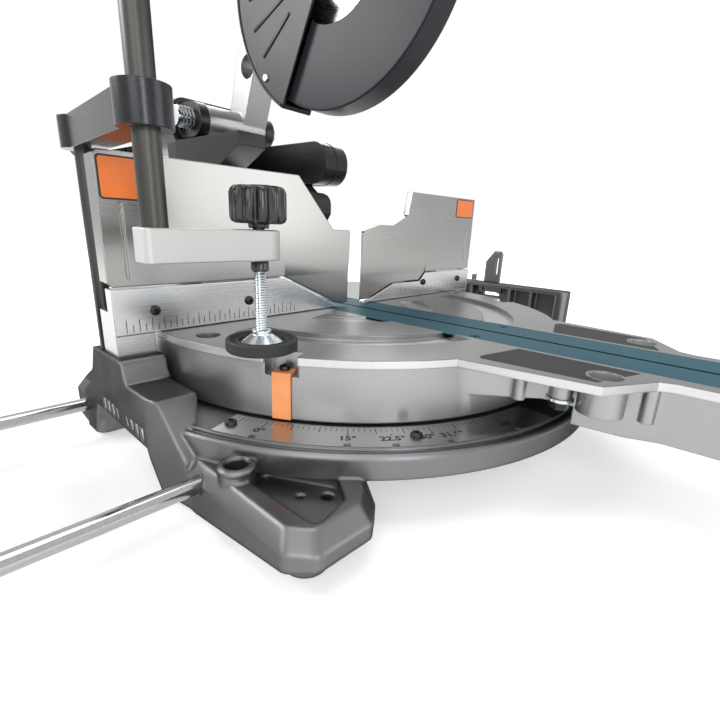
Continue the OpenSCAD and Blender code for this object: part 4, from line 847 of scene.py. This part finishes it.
def blade_finish():
    made, ink = bare_finish("ground_blade")
    y, z = (across(ink, in_head.translation, in_head.col[k].xyz) for k in (1, 2))
    rings = lathe_lines(ink, ink.maths("SQRT", y * y + z * z), per_metre=1600.0)
    slow = grain(ink, size=0.03)
    return surface(made, ink, Base_Color=rings.tint((0.42, 0.43, 0.44), (0.56, 0.57, 0.58)), Metallic=1.0,
                   Roughness=0.18 + 0.12 * rings + 0.06 * slow)


dress("saw_blade", blade_finish(), edge=0)
flange_steel = plated_finish("flange_steel", colour=(0.30, 0.31, 0.32), roughness=0.32)
dress("spindle", flange_steel, edge=0)
dress("blade_clamp", flange_steel, edge=0.0006)
teeth = 60
tip = block(centre=(0, 0.1272, -0.0006), size=(0.0031, 0.0056, 0.0019))
tips = [round_blade(360 * count / teeth) @ tip for count in range(teeth)]
carbide = plated_finish("carbide", colour=(0.20, 0.20, 0.21), roughness=0.34)
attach(blocks("blade_tips", tips, carbide, edge=0.0002), "blade")

# Lower guard: a smoked plastic drum over the open half of the blade, with a moulded bead round its rim.
# It turns up on the gear case's boss as the head comes down.
smoked = moulded_finish("smoked_guard", colour=(0.024, 0.026, 0.030), roughness=0.30, depth=0.00001,
                        shine=0.12)
dress("lower_guard", smoked, edge=0.0005)
guard_half, guard_rim_r, guard_span = 0.014, 0.1368, (181, 349)
for where, x in (("left", -guard_half), ("right", guard_half)):
    rim_line = arc(in_head, (0, 0), guard_rim_r, *guard_span, x, steps=64)
    rim = bead(f"{where}_guard_rim", rim_line, smoked, radius=0.0010)
    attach(rim, "guard")

# Handle: a moulded black loop with a ribbed rubber skin on its front, an orange trigger inside the loop
# and a lock-off button on its side.
skin_back = -0.2145


def handle_finish():
    made, ink = bare_finish("handle_skin")
    fine = grain(ink, size=0.0008)
    slow = grain(ink, size=0.05)
    front = 1 - across(ink, in_head.translation, in_head.col[1].xyz).above(skin_back, blur=0.0004)
    plastic = slow.tint((0.012, 0.012, 0.0135), (0.017, 0.017, 0.0185))
    rubber = fine.tint((0.028, 0.028, 0.030), (0.040, 0.040, 0.042))
    return surface(made, ink, Base_Color=front.tint(plastic, rubber),
                   Roughness=0.36 + 0.1 * fine + 0.24 * front,
                   Normal=skin(ink, fine, depth=0.0001, strength=0.35, soft_edge=0.003))


dress("handle_grip", handle_finish(), edge=0.003)
dress("trigger", orange, edge=0.0012)
dress("lock_off_button", black_plastic, edge=0.0008)
grip_front, first_rib_z, grip_pitch, grip_rib = -0.2481, 0.046, 0.0056, (0.026, 0.0016, 0.0026)
grip_ribs = [in_head @ block((0, grip_front, first_rib_z + grip_pitch * count), grip_rib)
             for count in range(9)]
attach(blocks("grip_ribs", grip_ribs, soft_rubber, edge=0.0006), "head")

# Battery: a black pack on a shoe behind the motor, moulded in two halves, with a charge gauge on its end
# and an orange latch that lets it slide off.
dress("battery_pack", black_plastic, edge=0.0015)
dress("battery_latch", orange, edge=0.0006)
pack_outline = round_outline(wide=(0.0525, 0.118), tall=(0.030, 0.106), corner=0.009, steps=8)
for name, x in (("pack_seam", 0.100), ("pack_band", 0.138)):
    loop = [in_head @ Vector((x, y, z)) for y, z in pack_outline]
    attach(bead(name, loop, soft_rubber, radius=0.0007, closed=True), "battery")
gauge_z, gauge_y, first_light_y, light_pitch = 0.070, 0.085, 0.0745, 0.0055
gauge = [in_head @ block(centre=(0.1581, gauge_y, gauge_z), size=(0.0008, 0.030, 0.010))]
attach(blocks("pack_gauge", gauge, glossy_black, edge=0.0003), "battery")
light_x, light_size = 0.1586, (0.0004, 0.0032, 0.0040)
lights = [in_head @ block((light_x, first_light_y + light_pitch * count, gauge_z), light_size)
          for count in range(4)]
pale_green = flat_finish("gauge_light", colour=(0.30, 0.62, 0.30), roughness=0.3)
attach(blocks("pack_lights", lights, pale_green), "battery")

# Studio: a pale floor that is white to the eye far out and keeps a soft shadow near the saw, under a
# white sky, with six soft lamps.
floor_half, near_floor, floor_fade = 7.0, 1.3, 0.8


def to_the_eye(ink):
    """1 on rays that the camera sends out, straight, mirrored or let through, and 0 on all others."""
    ways = [ink.node("LightPath", out=f"Is {way} Ray") for way in ("Camera", "Glossy", "Transmission")]
    return ink.maths("MINIMUM", ways[0] + ways[1] + ways[2], 1.0)


def floor_finish():
    made, ink = bare_finish("pale_floor")
    far = from_axis(ink).above(near_floor, floor_fade)
    paper = ink.node("BsdfDiffuse", Color=(0.86, 0.86, 0.86, 1))
    glow = ink.node("Emission", Color=far.tint((0.46, 0.46, 0.46), (0.84, 0.84, 0.84)), Strength=1.0)
    both = ink.node("AddShader", _at0=paper, _at1=glow)
    ink.node("OutputMaterial", Surface=ink.node("MixShader", _at0=to_the_eye(ink), _at1=paper, _at2=both))
    return made


floor_mesh = bpy.data.meshes.new("floor")
floor_corners = [(x * floor_half, y * floor_half, 0) for x, y in ((-1, -1), (1, -1), (1, 1), (-1, 1))]
floor_mesh.from_pydata(floor_corners, [], [(0, 1, 2, 3)])
floor_mesh.materials.append(floor_finish())
floor = bpy.data.objects.new("floor", floor_mesh)
bpy.context.scene.collection.objects.link(floor)

world = bpy.data.worlds.new("studio")
bpy.context.scene.world = world
world.use_nodes = True
world.node_tree.nodes.clear()
air = Ink(world.node_tree)
lit = air.node("Background", Color=(1, 1, 1, 1), Strength=0.35)
white = air.node("Background", Color=(1, 1, 1, 1), Strength=1.0)
air.node("OutputWorld", Surface=air.node("MixShader", _at0=to_the_eye(air), _at1=lit, _at2=white))


def lamp(name, place, aim, size, watts):
    """A soft lamp of this width and height, turned to a point."""
    data = bpy.data.lights.new(name, "AREA")
    data.shape, data.size, data.size_y, data.energy = "RECTANGLE", *size, watts
    made = bpy.data.objects.new(name, data)
    made.location = place
    made.rotation_euler = (Vector(aim) - Vector(place)).to_track_quat("-Z", "Y").to_euler()
    bpy.context.scene.collection.objects.link(made)


lamp("top_softbox", place=(-0.2, -0.2, 2.2), aim=(0, 0, 0.1), size=(1.4, 1.2), watts=14)
lamp("back_softbox", place=(1.3, 1.5, 1.6), aim=(0, 0, 0.1), size=(1.6, 1.2), watts=24)
lamp("left_softbox", place=(-1.7, -1.1, 1.1), aim=(0, 0, 0.15), size=(1.0, 1.2), watts=12)
lamp("front_softbox", place=(1.15, -1.9, 0.55), aim=(-0.1, 0, 0.15), size=(1.0, 1.0), watts=8.5)
lamp("front_strip", place=(-0.9, -2.0, 0.62), aim=(-0.2, 0, 0.2), size=(0.22, 1.2), watts=11)
lamp("rim_softbox", place=(-1.6, 1.29, 1.22), aim=(-0.25, -0.15, 0.04), size=(1.0, 0.7), watts=34)

# Camera: at the photograph's standpoint, just in front of the left wing and looking to the back right,
# with the photograph's wide lens and slight roll.
stand = Vector((-0.372389, -0.363065, 0.201051))
yaw, pitch, roll = (math.radians(a) for a in (46.998, 16.942, -2.278))
focal_in_frames = 444.355 / 720
ahead = Vector((math.sin(yaw) * math.cos(pitch), math.cos(yaw) * math.cos(pitch), -math.sin(pitch)))
right = Vector((math.cos(yaw), -math.sin(yaw), 0))
down = ahead.cross(right)
right, down = right * math.cos(roll) + down * math.sin(roll), down * math.cos(roll) - right * math.sin(roll)
eye = bpy.data.cameras.new("camera")
eye.sensor_width = 36
eye.lens = eye.sensor_width * focal_in_frames
eye.clip_start = 0.01
camera = bpy.data.objects.new("camera", eye)
camera.matrix_world = Matrix.Translation(stand) @ Matrix((right, -down, -ahead)).transposed().to_4x4()
bpy.context.scene.collection.objects.link(camera)
bpy.context.scene.camera = camera
bpy.context.scene.view_settings.view_transform = "Standard"
